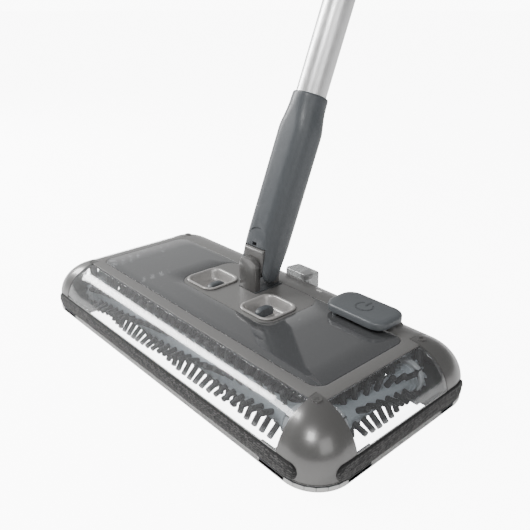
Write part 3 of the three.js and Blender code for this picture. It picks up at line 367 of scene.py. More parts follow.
finish = {
    "frame": plastic("smoke frame", (0.135, 0.133, 0.13), 0.36, 0.15, coat=0.12, bump=0.03, drift=0.03, scuff=0.04),
    "cap": plastic("metallic cap", (0.135, 0.133, 0.13), 0.3, 0.55, coat=0.35, bump=0.004, grain=400,
                   drift=0.02, scuff=0.015),
    "slate": plastic("slate plastic", (0.06, 0.066, 0.072), 0.42, bump=0.08, coat=0.04, drift=0.03),
    "slate_light": plastic("pedal grey", (0.075, 0.082, 0.088), 0.36, bump=0.05, coat=0.12, drift=0.03),
    "dark": plastic("chassis grey", (0.06, 0.062, 0.065), 0.5, bump=0.1),
    "silver": plastic("silver cup", (0.38, 0.37, 0.36), 0.33, 0.4, coat=0.1, bump=0.004, grain=300,
                      drift=0.02, scuff=0.02),
    "core": plastic("roller core", (0.3, 0.335, 0.36), 0.42, bump=0.06, drift=0.03),
    "collar": plastic("bearing collar", (0.4, 0.42, 0.435), 0.4, bump=0.05, drift=0.03),
    "steel": plastic("plated steel", (0.6, 0.6, 0.61), 0.25, 1.0, bump=0.03),
    "tube": plastic("satin aluminium", (0.78, 0.78, 0.78), 0.33, 0.8, bump=0.03, grain=2500),
    "brass": plastic("turned brass", (0.6, 0.44, 0.2), 0.3, 1.0),
    "light": plastic("white nylon", (0.82, 0.82, 0.8), 0.4),
    "wrap": plastic("battery wrap", (0.05, 0.13, 0.3), 0.35, coat=0.3),
    "board": plastic("circuit board", (0.02, 0.13, 0.05), 0.4, coat=0.3),
    "rubber": plastic("soft grip", (0.03, 0.031, 0.033), 0.7, bump=0.3, sheen=0.1),
    # Pale grey for the chassis lip, far lighter than the chassis: a painted highlight along its rounded edge.
    "lip_painted_highlight": plastic("pale rim", (0.5, 0.5, 0.49), 0.35, bump=0.02, drift=0.02),
    "black": plastic("black plastic", (0.02, 0.02, 0.021), 0.45),
    "window": smoke_clear("smoke pane", (0.93, 0.935, 0.94), 0.02, (0.3, 0.31, 0.32), 0.1),
    "top": smoke_clear("smoke top", (0.36, 0.365, 0.37), 0.62, (0.085, 0.087, 0.09), 0.06, 0.9),
}
print("finishes:", len(finish))


def chassis_finish():
    """Grey base. Its ledge beside the brush openings is solid in the CAD and only shown clear here."""
    mat, nodes, links, out = new_material("chassis base")
    coords = nodes.new("ShaderNodeTexCoord")
    body = nodes.new("ShaderNodeBsdfPrincipled")
    slow = noise(nodes, links, coords, 14, 3)
    tone = nodes.new("ShaderNodeMix")
    tone.data_type = "RGBA"
    tone.inputs[6].default_value = (0.055, 0.057, 0.06, 1)
    tone.inputs[7].default_value = (0.066, 0.068, 0.07, 1)
    links.new(spread(nodes, links, slow, 0, 1).outputs[0], tone.inputs[0])
    links.new(tone.outputs[2], body.inputs["Base Color"])
    links.new(spread(nodes, links, noise(nodes, links, coords, 60, 5), 0.42, 0.6).outputs[0], body.inputs["Roughness"])
    clear = nodes.new("ShaderNodeBsdfTransparent")
    clear.inputs["Color"].default_value = (0.97, 0.97, 0.97, 1)
    parts = nodes.new("ShaderNodeSeparateXYZ")
    links.new(coords.outputs["Object"], parts.inputs[0])
    sizes = {}
    for axis in ("X", "Y"):
        sizes[axis] = nodes.new("ShaderNodeMath")
        sizes[axis].operation = "ABSOLUTE"
        links.new(parts.outputs[axis], sizes[axis].inputs[0])
    ledges = []
    for axis, edge, other, reach in (("Y", 0.0632, "X", 0.114), ("X", 0.1432, "Y", 0.0345)):
        past = nodes.new("ShaderNodeMath")
        past.operation = "GREATER_THAN"
        past.inputs[1].default_value = edge
        links.new(sizes[axis].outputs[0], past.inputs[0])
        within = nodes.new("ShaderNodeMath")
        within.operation = "LESS_THAN"
        within.inputs[1].default_value = reach
        links.new(sizes[other].outputs[0], within.inputs[0])
        both = nodes.new("ShaderNodeMath")
        both.operation = "MULTIPLY"
        links.new(past.outputs[0], both.inputs[0])
        links.new(within.outputs[0], both.inputs[1])
        ledges.append(both)
    either = nodes.new("ShaderNodeMath")
    either.operation = "MAXIMUM"
    links.new(ledges[0].outputs[0], either.inputs[0])
    links.new(ledges[1].outputs[0], either.inputs[1])
    mix = nodes.new("ShaderNodeMixShader")
    links.new(either.outputs[0], mix.inputs[0])
    links.new(body.outputs[0], mix.inputs[1])
    links.new(clear.outputs[0], mix.inputs[2])
    links.new(mix.outputs[0], out.inputs[0])
    return mat


finish["chassis"] = chassis_finish()


def dress(obj, key):
    obj.data.materials.clear()
    obj.data.materials.append(finish[key])
    return obj


# %% [markdown]
# ## Corner caps
# Each corner is a thick metallic-grey moulding, a quarter of a dome blended into the skirt. It is swept
# through rings of the head's own form, so its edges run on into the panes beside it.

# %% Corner caps
BODY_NAMES = {(-1, -1): "front_left", (1, -1): "front_right", (-1, 1): "rear_left", (1, 1): "rear_right"}
for (sx, sy), where in BODY_NAMES.items():
    rows = []
    for z in (4.9, 8.4):
        rows.append([(x, y, z) for x, y in corner_ring(sx, sy, 0.0)])
    for k in range(25):
        a = math.radians(88.6) * k / 24
        rows.append([(x, y, SPRING + (TOP - SPRING) * math.sin(a)) for x, y in corner_ring(sx, sy, a)])
    verts, faces = grid(rows)
    if sx * sy > 0:
        faces = [f[::-1] for f in faces]
    cap = obj_from("corner_dome_" + where, verts, faces, None)
    first = cap.data.polygons[0]
    if Vector((first.center.x, first.center.y, 0)).dot(first.normal) < 0:
        cap.data.flip_normals()
    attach(cap, "head")
    thicken(cap, 2.6, 0.5, 3).modifiers["wall"].use_even_offset = False
    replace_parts(cap, "corner_cap_" + where)
    dress(cap, "cap")
    print("corner_dome_" + where, "faces before its wall:", len(cap.data.polygons))

# %% [markdown]
# ## Clear panes
# The four panes are 2 mm smoke-clear mouldings. Along each side the form is a straight sweep of the same
# quarter-ellipse.

# %% Clear panes
def pane(name, along, lo, hi, sweep, half, sign, inner):
    """A curved pane; along is its long axis, inner the distance in from the edge where it stops."""
    steps = 26
    stop = math.acos(1 - inner / sweep)
    arc = [(half, 16.3)] if SPRING >= 16.3 else []
    first = math.asin((16.3 - SPRING) / (TOP - SPRING))
    for k in range(steps + 1):
        a = first + (stop - first) * k / steps
        arc.append((half - sweep * (1 - math.cos(a)), SPRING + (TOP - SPRING) * math.sin(a)))
    rows = []
    for t in np.linspace(lo, hi, 13):
        rows.append([(t, sign * d, z) if along == "x" else (sign * d, t, z) for d, z in arc])
    verts, faces = grid(rows)
    obj = obj_from(name, verts, faces, None)
    poly = obj.data.polygons[0]
    if poly.normal.dot(Vector((0, 0, 1))) < 0:
        obj.data.flip_normals()
    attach(obj, "head")
    thicken(obj, 2.0, 0.3)
    return dress(obj, "window")


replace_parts(pane("pane_front", "x", -126.3, 126.3, FRONT, HALF_Y, -1, 24.85), "window_front")
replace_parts(pane("pane_rear", "x", -126.3, 126.3, REAR, HALF_Y, 1, 13.85), "window_rear")
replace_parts(pane("pane_left", "y", -46.0, 40.4, SIDE, HALF_X, -1, 23.35), "window_left")
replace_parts(pane("pane_right", "y", -46.0, 40.4, SIDE, HALF_X, 1, 23.35), "window_right")


# %% [markdown]
# ## Top frame and clear top
# The frame is a flat grey bar round the clear panel that rolls over with the shell at the rear. Rays from
# the middle join its inner and outer outlines, which gives clean quads all round.

# %% Top frame and clear top
def ray_hit(outline, centre, angle):
    """Farthest point where a ray from the centre meets a closed outline."""
    dx, dy = math.cos(angle), math.sin(angle)
    best = 0.0
    n = len(outline)
    for i in range(n):
        x0, y0 = outline[i][0] - centre[0], outline[i][1] - centre[1]
        x1, y1 = outline[(i + 1) % n][0] - centre[0], outline[(i + 1) % n][1] - centre[1]
        ex, ey = x1 - x0, y1 - y0
        det = dx * -ey + dy * ex
        if abs(det) < 1e-12:
            continue
        t = (x0 * -ey + y0 * ex) / det
        u = (dx * y0 - dy * x0) / det
        if -1e-9 <= u <= 1 + 1e-9 and t > best:
            best = t
    return centre[0] + dx * best, centre[1] + dy * best


def ring_plate(name, outer, inner, centre, height, steps=6, count=240):
    angles = {round(2 * math.pi * k / count, 6) for k in range(count)}
    for x, y in list(outer) + list(inner):
        angles.add(round(math.atan2(y - centre[1], x - centre[0]) % (2 * math.pi), 6))
    angles = sorted(angles)
    merged = [angles[0]]
    for a in angles[1:]:
        if a - merged[-1] > 1e-4:
            merged.append(a)
    rows = []
    for a in merged:
        p, q = ray_hit(inner, centre, a), ray_hit(outer, centre, a)
        row = []
        for k in range(steps + 1):
            x, y = (p[i] + (q[i] - p[i]) * k / steps for i in (0, 1))
            row.append((x, y, height(x, y)))
        rows.append(row)
    verts, faces = grid(rows, close_v=True)
    obj = obj_from(name, verts, faces, None)
    if obj.data.polygons[0].normal.z < 0:
        obj.data.flip_normals()
    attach(obj, "head")
    return obj


OPENING = rounded(-125.5, 125.5, -44.5, 38.5, 9)
frame_outer = [(-126.3, -52.8), (126.3, -52.8), (126.3, -46.3), (134.3, -46.3), (134.3, 40.5), (126.3, 40.5),
               (126.3, 63.8), (-126.3, 63.8), (-126.3, 40.5), (-134.3, 40.5), (-134.3, -46.3), (-126.3, -46.3)]
bar = ring_plate("frame_bar", frame_outer, OPENING, (0, -3), lambda x, y: shell_height(x, y), 10)
thicken(bar, 2.0, 0.35, 3)
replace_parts(bar, "top_frame")
dress(bar, "frame")
opening_small = rounded(-125.2, 125.2, -44.2, 38.2, 8.7)
panel = ring_plate("clear_panel", opening_small, rounded(-51.3, 51.3, -18.3, 37.9, 12.3), (0, 10),
                   lambda x, y: TOP, 4)
thicken(panel, 2.0, 0.3)
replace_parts(panel, "clear_top")
dress(panel, "top")
print("frame_bar faces:", len(bar.data.polygons), "clear_panel faces:", len(panel.data.polygons))
seat = slab("pedal_seat", rounded(60.6, 114.4, 25.2, 58.4, 11.2), 35.0, 39.6, bevel=0.6)
for v in seat.data.vertices:
    x, y = v.co.x / MM, v.co.y / MM
    if v.co.z < 38 * MM:
        v.co.z = (shell_height(x, y) - 2.5) * MM
dress(seat, "frame")

port = slab("port_housing", rounded(-8, 17, 57.3, 73.2, 3.2), 37.0, 42.9, bevel=1.5, segments=5)
for v in port.data.vertices:
    if v.co.z < 38 * MM:
        v.co.z = (shell_height(v.co.x / MM, v.co.y / MM) - 3.0) * MM
    elif v.co.y > 68 * MM:
        v.co.z -= 0.9 * MM
finish["port"] = smoke_clear("pale port", (0.5, 0.51, 0.51), 0.75, (0.2, 0.2, 0.2), 0.1)
dress(port, "port")
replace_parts(port, "charge_port")

led = slab("led_window", rounded(33.5, 38.5, 50.2, 52.8, 0.6, 3), 30, 40, bevel=0)
for v in led.data.vertices:
    v.co.z = (shell_height(v.co.x / MM, v.co.y / MM) + (0.12 if v.co.z > 35 * MM else -0.8)) * MM
dress(led, "light")
print("port:", len(port.data.polygons), "faces, indicator window:", len(led.data.polygons))

# %% [markdown]
# ## Pieces kept from the CAD
# Gears, pins, springs and covers hardly show through the smoke top, so they keep their CAD shape. Making
# each again would add faces that nobody sees; a finish is enough.

# %% Flat objects left from the CAD get their finishes
CAD_LOOK = {
    "chassis": "chassis", "handle_plate": "frame", "motor": "steel", "motor_pinion": "brass", "idler_gear": "dark",
    "idler_axle": "steel", "motor_cover": "frame", "battery_pack": "wrap", "circuit_board": "board",
    "power_switch": "black", "charge_jack": "black", "charge_light": "light",
    "yoke_screw": "steel", "swivel_pin": "steel", "door_pin_left": "steel", "door_pin_right": "steel",
    "bin_door_left": "dark", "bin_door_right": "dark", "pedal_spring": "steel", "latch_spring_left": "steel",
    "latch_spring_right": "steel", "top_frame": "frame", "clear_top": "top", "cap_screw_front_left": "cap",
    "cap_screw_front_right": "cap", "cap_screw_rear_left": "cap", "cap_screw_rear_right": "cap",
}
for node, key in CAD_LOOK.items():
    obj = frame["nodes"][node]
    obj.data.materials.clear()
    obj.data.materials.append(finish[key])

# %% [markdown]
# ## Bumper strips
# A strip of coarse looped pile, 2 mm proud, runs along each side so that the head doesn't mark furniture.
# The loops are real lumps: the strip is a fine grid pushed out by a lumpy pattern.

# %% Bumper strips
def outline_path(side):
    """Points along the shell's foot where a strip lies, with the outward direction."""
    pts = []
    half = 142.0 if side in ("front", "rear") else 62.0
    n = int(half * 2 / 0.55)
    for k in range(n + 1):
        s = -half + 2 * half * k / n
        sy = {"front": -1, "rear": 1}.get(side, -1 if s < 0 else 1)
        r = CORNER[sy]
        if side in ("front", "rear"):
            cx = HALF_X - r
            if abs(s) <= cx:
                pts.append((s, sy * HALF_Y, 0, sy))
            else:
                t = math.asin(min(1, (abs(s) - cx) / r))
                nx, ny = math.copysign(math.sin(t), s), sy * math.cos(t)
                pts.append((math.copysign(cx, s) + r * nx, sy * (HALF_Y - r) + r * ny, nx, ny))
        else:
            sx = -1 if side == "left" else 1
            cy = HALF_Y - r
            if abs(s) <= cy:
                pts.append((sx * HALF_X, s, sx, 0))
            else:
                t = math.asin(min(1, (abs(s) - cy) / r))
                nx, ny = sx * math.cos(t), math.copysign(math.sin(t), s)
                pts.append((sx * (HALF_X - r) + r * nx, math.copysign(cy, s) + r * ny, nx, ny))
    return pts


def loops(s, z, seed):
    """Height of the pile at a place: rows of short wavy ridges, each a loop of yarn."""
    tall, long = 1.55, 3.6
    z = z + 0.28 * math.sin(s * 1.9 + seed) + 0.2 * math.sin(s * 4.3 + 2 * seed + z)
    row = math.floor(z / tall)
    u = s / long + 0.5 * (row % 2) + 0.23 * math.sin(row * 2.7 + seed)
    col = math.floor(u)
    rng = random.Random((row * 7919 + col * 104729 + seed) & 0xFFFFFFF)
    high = 0.45 + 0.55 * rng.random()
    du, dv = abs(u - col - 0.5) * 2, abs(z / tall - row - 0.5) * 2
    return high * max(0.0, 1 - du ** 5) ** 0.5 * max(0.0, 1 - 0.95 * dv * dv)


def pile_painted_shade_finish():
    """Dark yarn with painted shade: near black in the low places between the loops, where shade falls, and dark grey on
    their backs, from the height kept in the mesh.
    """
    mat, nodes, links, out = new_material("looped pile")
    height = nodes.new("ShaderNodeAttribute")
    height.attribute_name = "pile"
    shader = nodes.new("ShaderNodeBsdfPrincipled")
    shader.inputs["Roughness"].default_value = 0.85
    shader.inputs["Sheen Weight"].default_value = 0.15
    coords = nodes.new("ShaderNodeTexCoord")
    fuzz = noise(nodes, links, coords, 2200, 2)
    # Painted shade: the loop height from the mesh darkens the low places between loops to near black.
    crevice_shade = nodes.new("ShaderNodeMapRange")
    crevice_shade.inputs["From Min"].default_value = 0.38
    crevice_shade.inputs["From Max"].default_value = 0.6
    links.new(height.outputs["Fac"], crevice_shade.inputs["Value"])
    mix = nodes.new("ShaderNodeMix")
    mix.data_type = "RGBA"
    mix.inputs[6].default_value = (0.0015, 0.0015, 0.0015, 1)
    mix.inputs[7].default_value = (0.055, 0.054, 0.053, 1)
    links.new(crevice_shade.outputs[0], mix.inputs[0])
    links.new(mix.outputs[2], shader.inputs["Base Color"])
    bump = nodes.new("ShaderNodeBump")
    bump.inputs["Strength"].default_value = 0.25
    bump.inputs["Distance"].default_value = 0.0002
    links.new(fuzz.outputs[0], bump.inputs["Height"])
    links.new(bump.outputs[0], shader.inputs["Normal"])
    links.new(shader.outputs[0], out.inputs[0])
    return mat


finish["felt"] = pile_painted_shade_finish()
LEVELS = 25
for seed, side in enumerate(("front", "rear", "left", "right")):
    path = outline_path(side)
    length = [0.0]
    for a, b in zip(path, path[1:]):
        length.append(length[-1] + math.hypot(b[0] - a[0], b[1] - a[1]))
    # The pile attribute keeps each loop's height. It is zero along the strip's rims, so the finish paints shade there
    # too.
    rows, pile = [], []
    for (x, y, nx, ny), s in zip(path, length):
        end = min(s, length[-1] - s)
        half = 5.5 if end >= 5 else max(0.3, math.sqrt(max(0.0, 25 - (5 - end) ** 2))) * 1.1
        row = [(x - nx * 0.3, y - ny * 0.3, 10.4 - half)]
        pile.append(0.0)
        for k in range(LEVELS):
            z = 10.4 - half + 2 * half * k / (LEVELS - 1)
            edge = math.sin(math.pi * k / (LEVELS - 1)) ** 0.3
            bump = loops(s, z, seed)
            out = 0.1 + (0.95 * edge + 0.8 * edge * bump) * min(1, end / 1.5 + 0.2)
            row.append((x + nx * out, y + ny * out, z))
            pile.append(bump * min(1, edge + 0.2))
        row.append((x - nx * 0.3, y - ny * 0.3, 10.4 + half))
        pile.append(0.0)
        rows.append(row)
    verts, faces = grid(rows, close_u=True)
    n = len(rows[0])
    last = (len(rows) - 1) * n
    faces += [tuple(range(n))[::-1], tuple(range(last, last + n))]
    mesh = bpy.data.meshes.new("pile_strip_" + side)
    mesh.from_pydata([tuple(c * MM for c in v) for v in verts], [], faces)
    mesh.attributes.new("pile", "FLOAT", "POINT").data.foreach_set("value", pile)
    strip = finish_mesh("pile_strip_" + side, mesh, "head", True, 80)
    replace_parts(strip, "bumper_" + side)
    dress(strip, "felt")
    print("pile_strip_" + side, "faces:", len(strip.data.polygons))

# %% [markdown]
# ## Lip under the shell
# The chassis shows as a thin lip below the shell, and as a wall behind the strips. A swept section could
# be made with a curve; rings of one section keep the corners the same as the shell's.

# %% Lip under the shell
lip_rows = []
for z, out in ((1.0, -1.4), (1.0, 0.5), (1.3, 0.8), (4.1, 0.8), (4.4, 0.5), (4.5, -0.2), (4.8, -0.5), (15.4, -0.5),
               (15.7, -0.7), (15.8, -1.0), (15.7, -1.3), (15.4, -1.4)):
    ring = []
    for (sx, sy) in ((1, -1), (1, 1), (-1, 1), (-1, -1)):
        r = CORNER[sy]
        cx, cy = HALF_X - r, HALF_Y - r
        turn = np.linspace(0, math.pi / 2, 20)
        arc = [(sx * (cx + (r + out) * math.cos(t)), sy * (cy + (r + out) * math.sin(t))) for t in turn]
        if sx * sy < 0:
            arc = arc[::-1]
        ring += arc
    lip_rows.append([(x, y, z) for x, y in ring])
v, f = grid(lip_rows, close_u=True, close_v=True)
lip = obj_from("base_lip", v, f)
# The lip belongs to the dark chassis and is coloured pale as a painted highlight along its edge.
dress(lip, "lip_painted_highlight")
print("base_lip faces:", len(lip.data.polygons))

# %% [markdown]
# ## Bristle rollers
# Nylon tufts are punched into a moulded core in six helical rows, so the floor shows between them. The core
# is thinner than the CAD's, and there are more rows than the CAD's four.
# Each tuft is a round bundle with a fluted side and a domed tip; one is made, then copied along the rows.

# %% Bristle rollers
finish["bristle"] = plastic("nylon bristle", (0.016, 0.017, 0.018), 0.55, bump=0.3, grain=2600)


def tuft_shape(height, radius=1.95, sides=12):
    """One tuft standing on Z: a fluted rod of tight bristles with a domed tip."""
    bm = bmesh.new()
    bmesh.ops.create_circle(bm, cap_ends=True, segments=sides, radius=radius * MM)
    bm.faces.ensure_lookup_table()
    face = bm.faces[0]
    for lift, scale in ((height - 1.1, 1.04), (0.6, 0.93), (0.35, 0.72), (0.15, 0.35)):
        grown = bmesh.ops.extrude_face_region(bm, geom=[face])
        face = [g for g in grown["geom"] if isinstance(g, bmesh.types.BMFace)][0]
        bmesh.ops.translate(bm, verts=face.verts, vec=(0, 0, lift * MM))
        middle = face.calc_center_median()
        bmesh.ops.scale(bm, verts=face.verts, vec=(scale, scale, 1), space=Matrix.Translation(-middle))
    for k, v in enumerate(bm.verts):
        turn = math.atan2(v.co.y, v.co.x) * sides / (2 * math.pi)
        if round(turn) % 2:
            v.co.x *= 0.9
            v.co.y *= 0.9
    return bm


CORE, FLANGE, TIP = 7.3, 9.6, 17.3
AXLE_Z, FRONT_Y, REAR_Y, SIDE_X = 17.8, -52, 49, 132  # the rollers' axes


def brush(name, axis, centre, lo, hi, body, twist, start, rows=6, pitch=8.6):
    """Core, flanges and tufts of one roller, made along Z and then laid down."""
    rng = random.Random(len(name) * 31 + int(hi))
    mid = (lo + hi) / 2
    end = [(0.01, 0), (9.0, 0), (FLANGE, 0.5), (FLANGE, 1.7), (9.2, 2.1), (8.5, 2.2), (8.3, 2.6), (8.3, 4.6), (7.9, 5.0),
           (CORE, 5.2)]
    core = [(r, lo + z) for r, z in end] + [(CORE, lo + 5.2 + (hi - lo - 10.4) * k / 8) for k in range(1, 8)]
    core += [(r, hi - z) for r, z in reversed(end)]
    tuft = tuft_shape(TIP - CORE + 0.6)
    stencil = bpy.data.meshes.new("tuft_stencil")
    tuft.to_mesh(stencil)
    tuft.free()
    bm = bmesh.new()
    count = int((hi - lo - 14) / pitch)
    for row in range(rows):
        offset = (row % 2) * 0.5
        for k in range(count + (0 if offset else 1)):
            z = mid + (k + offset - count / 2) * pitch
            t = math.radians(start) + 2 * math.pi * row / rows + twist * (z - mid)
            known = len(bm.verts)
            bm.from_mesh(stencil)
            bm.verts.ensure_lookup_table()
            stand = (Matrix.Translation((0, 0, z * MM)) @ Matrix.Rotation(t + rng.uniform(-0.03, 0.03), 4, "Z")
                     @ Matrix.Translation(((CORE - 0.6) * MM, 0, 0)) @ Matrix.Rotation(math.pi / 2, 4, "Y")
                     @ Matrix.Rotation(rng.uniform(0, 6), 4, "Z") @ Matrix.Rotation(rng.uniform(-0.02, 0.02), 4, "X"))
            bmesh.ops.transform(bm, matrix=stand, verts=bm.verts[known:])
    if axis == "x":
        along_x = Matrix(((0, 0, 1, 0), (1, 0, 0, 0), (0, 1, 0, 0), (0, 0, 0, 1)))
        place = Matrix.Translation([c * MM for c in centre]) @ along_x
    else:
        place = Matrix.Translation([c * MM for c in centre]) @ Matrix.Rotation(-math.pi / 2, 4, "X")
    drum = lathe(name + "_core", core, body, place, 40)
    dress(drum, "core")
    obj = from_bmesh(bm, name + "_tufts", body, 50, place=place)
    dress(obj, "bristle")
    print(name, "faces of the tufts:", len(obj.data.polygons))
    return drum


ROLLERS = {"front": ("x", (0, FRONT_Y, AXLE_Z), -115, 115, -0.0136, 63),
           "rear": ("x", (0, REAR_Y, AXLE_Z), -115, 99.4, 0.0136, 20),
           "left": ("y", (-SIDE_X, 0, AXLE_Z), -35, 32, -0.02, 47),
           "right": ("y", (SIDE_X, 0, AXLE_Z), -35, 32, 0.02, 47)}
for side, (axis, centre, lo, hi, twist, start) in ROLLERS.items():
    brush("roller_" + side, axis, centre, lo, hi, side + "_roller", twist, start)
    node = frame["nodes"]["brush_" + side]
    node.data.materials.clear()
    node.data.materials.append(finish["core"])

# %% [markdown]
# ## Gear ends of the rollers
# The brush nodes are replaced above, so their bevel gears and journals are made again: a cone of straight
# teeth at each end of each roller.

# %% Gear ends
def bevel_gear(name, place, body, phase=0.0, teeth=12):
    rings_out = []
    for scale, z in ((1.0, 0.0), (0.61, 4.5)):
        pts = []
        for k in range(teeth):
            base = 2 * math.pi * k / teeth + phase
            for off, r in ((-0.42, 10.0), (-0.2, 10.0), (-0.1, 12.3), (0.1, 12.3), (0.2, 10.0), (0.42, 10.0)):
                t = base + off * 2 * math.pi / teeth
                pts.append((r * scale * math.cos(t), r * scale * math.sin(t), z))
        rings_out.append(pts)
    obj = lofted(name, rings_out, body, smooth=False)
    obj.data.transform(place)
    return dress(obj, "core")


def x_axis(x, y, flip):
    basis = Matrix(((0, 0, 1, 0), (1, 0, 0, 0), (0, 1, 0, 0), (0, 0, 0, 1)))
    mirror = Matrix.Scale(-1, 4, (0, 0, 1)) if flip else Matrix.Identity(4)
    return Matrix.Translation((x * MM, y * MM, AXLE_Z * MM)) @ basis @ mirror


def y_axis(x, y, flip):
    mirror = Matrix.Scale(-1, 4, (0, 0, 1)) if flip else Matrix.Identity(4)
    return Matrix.Translation((x * MM, y * MM, AXLE_Z * MM)) @ Matrix.Rotation(-math.pi / 2, 4, "X") @ mirror


for side, y in (("front", FRONT_Y), ("rear", REAR_Y)):
    for sx, flip in ((-1, True), (1, False)):
        bevel_gear("%s_gear_%d" % (side, sx + 1), x_axis(sx * 120.5, y, flip), side + "_roller")
    shaft = lathe(side + "_shaft", [(0.01, -120.6), (5, -120.6), (5, 120.6), (0.01, 120.6)], side + "_roller",
                  x_axis(0, y, False), 32)
    dress(shaft, "light")
for side, x in (("left", -SIDE_X), ("right", SIDE_X)):
    for y, flip in ((-40.5, True), (37.5, False)):
        bevel_gear("%s_gear_%d" % (side, 0 if flip else 2), y_axis(x, y, flip), side + "_roller", math.pi / 12)
    shaft = lathe(side + "_shaft", [(0.01, -40.6), (5, -40.6), (5, 37.6), (0.01, 37.6)], side + "_roller",
                  y_axis(x, 0, False), 32)
    dress(shaft, "light")
COLLAR = [(5.6, 12.1), (10.6, 12.1), (11.3, 12.8), (11.3, 15.3), (10.6, 16.0), (5.6, 16.0)]
for where, place in (("front_left", x_axis(-SIDE_X, FRONT_Y, False)), ("front_right", x_axis(SIDE_X, FRONT_Y, True)),
                     ("rear_left", x_axis(-SIDE_X, REAR_Y, False)), ("rear_right", x_axis(SIDE_X, REAR_Y, True)),
                     ("left_front", y_axis(-SIDE_X, FRONT_Y, False)), ("left_rear", y_axis(-SIDE_X, REAR_Y, True)),
                     ("right_front", y_axis(SIDE_X, FRONT_Y, False)), ("right_rear", y_axis(SIDE_X, REAR_Y, True))):
    bm = bmesh.new()
    ring = [bm.verts.new((r * MM, 0, z * MM)) for r, z in COLLAR]
    edges = [bm.edges.new((a, b)) for a, b in zip(ring, ring[1:] + ring[:1])]
    bmesh.ops.spin(bm, geom=ring + edges, cent=(0, 0, 0), axis=(0, 0, 1), angle=2 * math.pi, steps=48, use_merge=True)
    dress(from_bmesh(bm, "bearing_collar_" + where, "head", place=place), "collar")
spur = []
for z in (104.5, 109.5):
    ring = []
    for k in range(22):
        for off, r in ((-0.45, 9.9), (-0.24, 9.9), (-0.1, 11.7), (0.1, 11.7), (0.24, 9.9), (0.45, 9.9)):
            t = 2 * math.pi * (k + off) / 22
            ring.append((r * math.cos(t), r * math.sin(t), z))
    spur.append(ring)
wheel = lofted("rear_drive_gear", spur, "rear_roller", smooth=False)
wheel.data.transform(x_axis(0, REAR_Y, False))
dress(wheel, "light")
for side in ROLLERS:
    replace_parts(bpy.data.objects["roller_%s_core" % side], "brush_" + side)

# %% [markdown]
# ## Finger cups and latches
# Two silver dishes let two fingers pinch the latches together. Each dish has a raised rolled rim, sloping walls and a
# slot; the latch is a slate tab with a crowned top.

# %% Finger cups and latches
for sx, name in ((-1, "left"), (1, "right")):
    rings = []
    section = [(16.3, 40.3), (16.4, 41.0), (16.0, 41.5), (15.2, 41.6), (14.5, 41.3), (14.1, 40.7), (13.6, 39.6),
               (12.9, 37.4), (12.2, 35.0), (11.4, 33.4), (10.2, 32.7), (8.6, 32.5)]
    for half, z in section:
        r = max(2.5, 8.0 - (16.3 - half) * 0.55)
        rings.append([(x + sx * 32.5, y + 2, z) for x, y in rounded(-half, half, -half, half, r, 12)])
    verts, faces = grid(rings, close_u=True)
    n = len(rings[0])
    faces.append(tuple(range((len(rings) - 1) * n, len(rings) * n)))
    dish = obj_from("cup_" + name, verts, faces, None)
    if dish.data.polygons[-1].normal.z < 0:
        dish.data.flip_normals()
    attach(dish, "head")
    thicken(dish, 0.9, 0)
    apply_modifiers(dish)
    near, far = 28.5 - 1.5 - 4.8, 28.5 + 2.3
    slot_tool = slab("slot_tool", rounded(min(sx * near, sx * far), max(sx * near, sx * far), -5, 9, 1.0, 4), 28, 33.6,
                     None, bevel=0)
    carve(dish, [slot_tool])
    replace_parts(dish, "finger_cup_" + name)
    dress(dish, "silver")
    dish.data.shade_smooth()
    dish.data.set_sharp_from_angle(angle=math.radians(42))
    fin_rings = []
    for k in range(21):
        t = math.sin((-1 + k / 10) * math.pi / 2)
        y, w, c = 2 + 8.4 * t, 2.7 * max(0.25, 1 - abs(t) ** 4) ** 0.5, sx * 28.5
        low = 31.0 if abs(y - 2) < 6.6 else 33.9
        top = 34.6 + 4.6 * max(0.0, 1 - abs(t) ** 2.6) ** 0.5
        fin_rings.append([(c - w, y, low), (c - w, y, top - 0.6), (c - w * 0.8, y, top - 0.2), (c - w * 0.35, y, top),
                          (c + w * 0.35, y, top), (c + w * 0.8, y, top - 0.2), (c + w, y, top - 0.6), (c + w, y, low)])
    fin = lofted("latch_tab_" + name, fin_rings, "latch_" + name, angle=40)
    dress(fin, "slate")
    stem = slab("latch_stem_" + name, rounded(sx * 28.5 - 1.5, sx * 28.5 + 1.5, -4, 8, 0.5, 3), 6.2, 32, "latch_" + name)
    dress(stem, "slate")
    foot = slab("latch_foot_" + name, rounded(sx * 28.5 - 2, sx * 28.5 + 2, -5, 9, 0.5, 3), 6.0, 15, "latch_" + name)
    dress(foot, "slate")
    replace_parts(fin, "bin_latch_" + name)

# %% [markdown]
# ## Swivel and neck
# A yoke with two rounded ears stands on the plate. The knuckle leans between them on a steel pin, and the
# neck's fork tilts on the knuckle. The neck is a flattened oval that tapers into the tube's collar. The
# saddle is not in the CAD: it closes the gap between the ears.

# %% Swivel and neck
def ear(name, y0, y1, half, body="head"):
    ring = [(-half, 40.0)] + [(-half, 40.0 + 16.5 * k / 6) for k in range(1, 6)]
    r = half - 2.5
    ring += [(-2.5 + r * math.cos(t), 59.0 + r * math.sin(t)) for t in np.linspace(math.pi, math.pi / 2, 15)]
    ring += [(2.5 + r * math.cos(t), 59.0 + r * math.sin(t)) for t in np.linspace(math.pi / 2, 0, 15)]
    ring += [(half, 40.0 + 16.5 * k / 6) for k in range(5, -1, -1)]
    rings = []
    for d, y in ((0.9, y0), (0.3, y0 + 0.25), (0, y0 + 0.9), (0, y1 - 0.9), (0.3, y1 - 0.25), (0.9, y1)):
        rings.append([(x * (1 - d / half) * (0.93 + 0.07 * min(1, (z - 40) / 14)), y, 40 + (z - 40) * (1 - d / 26))
                      for x, z in ring])
    return lofted(name, rings, body)


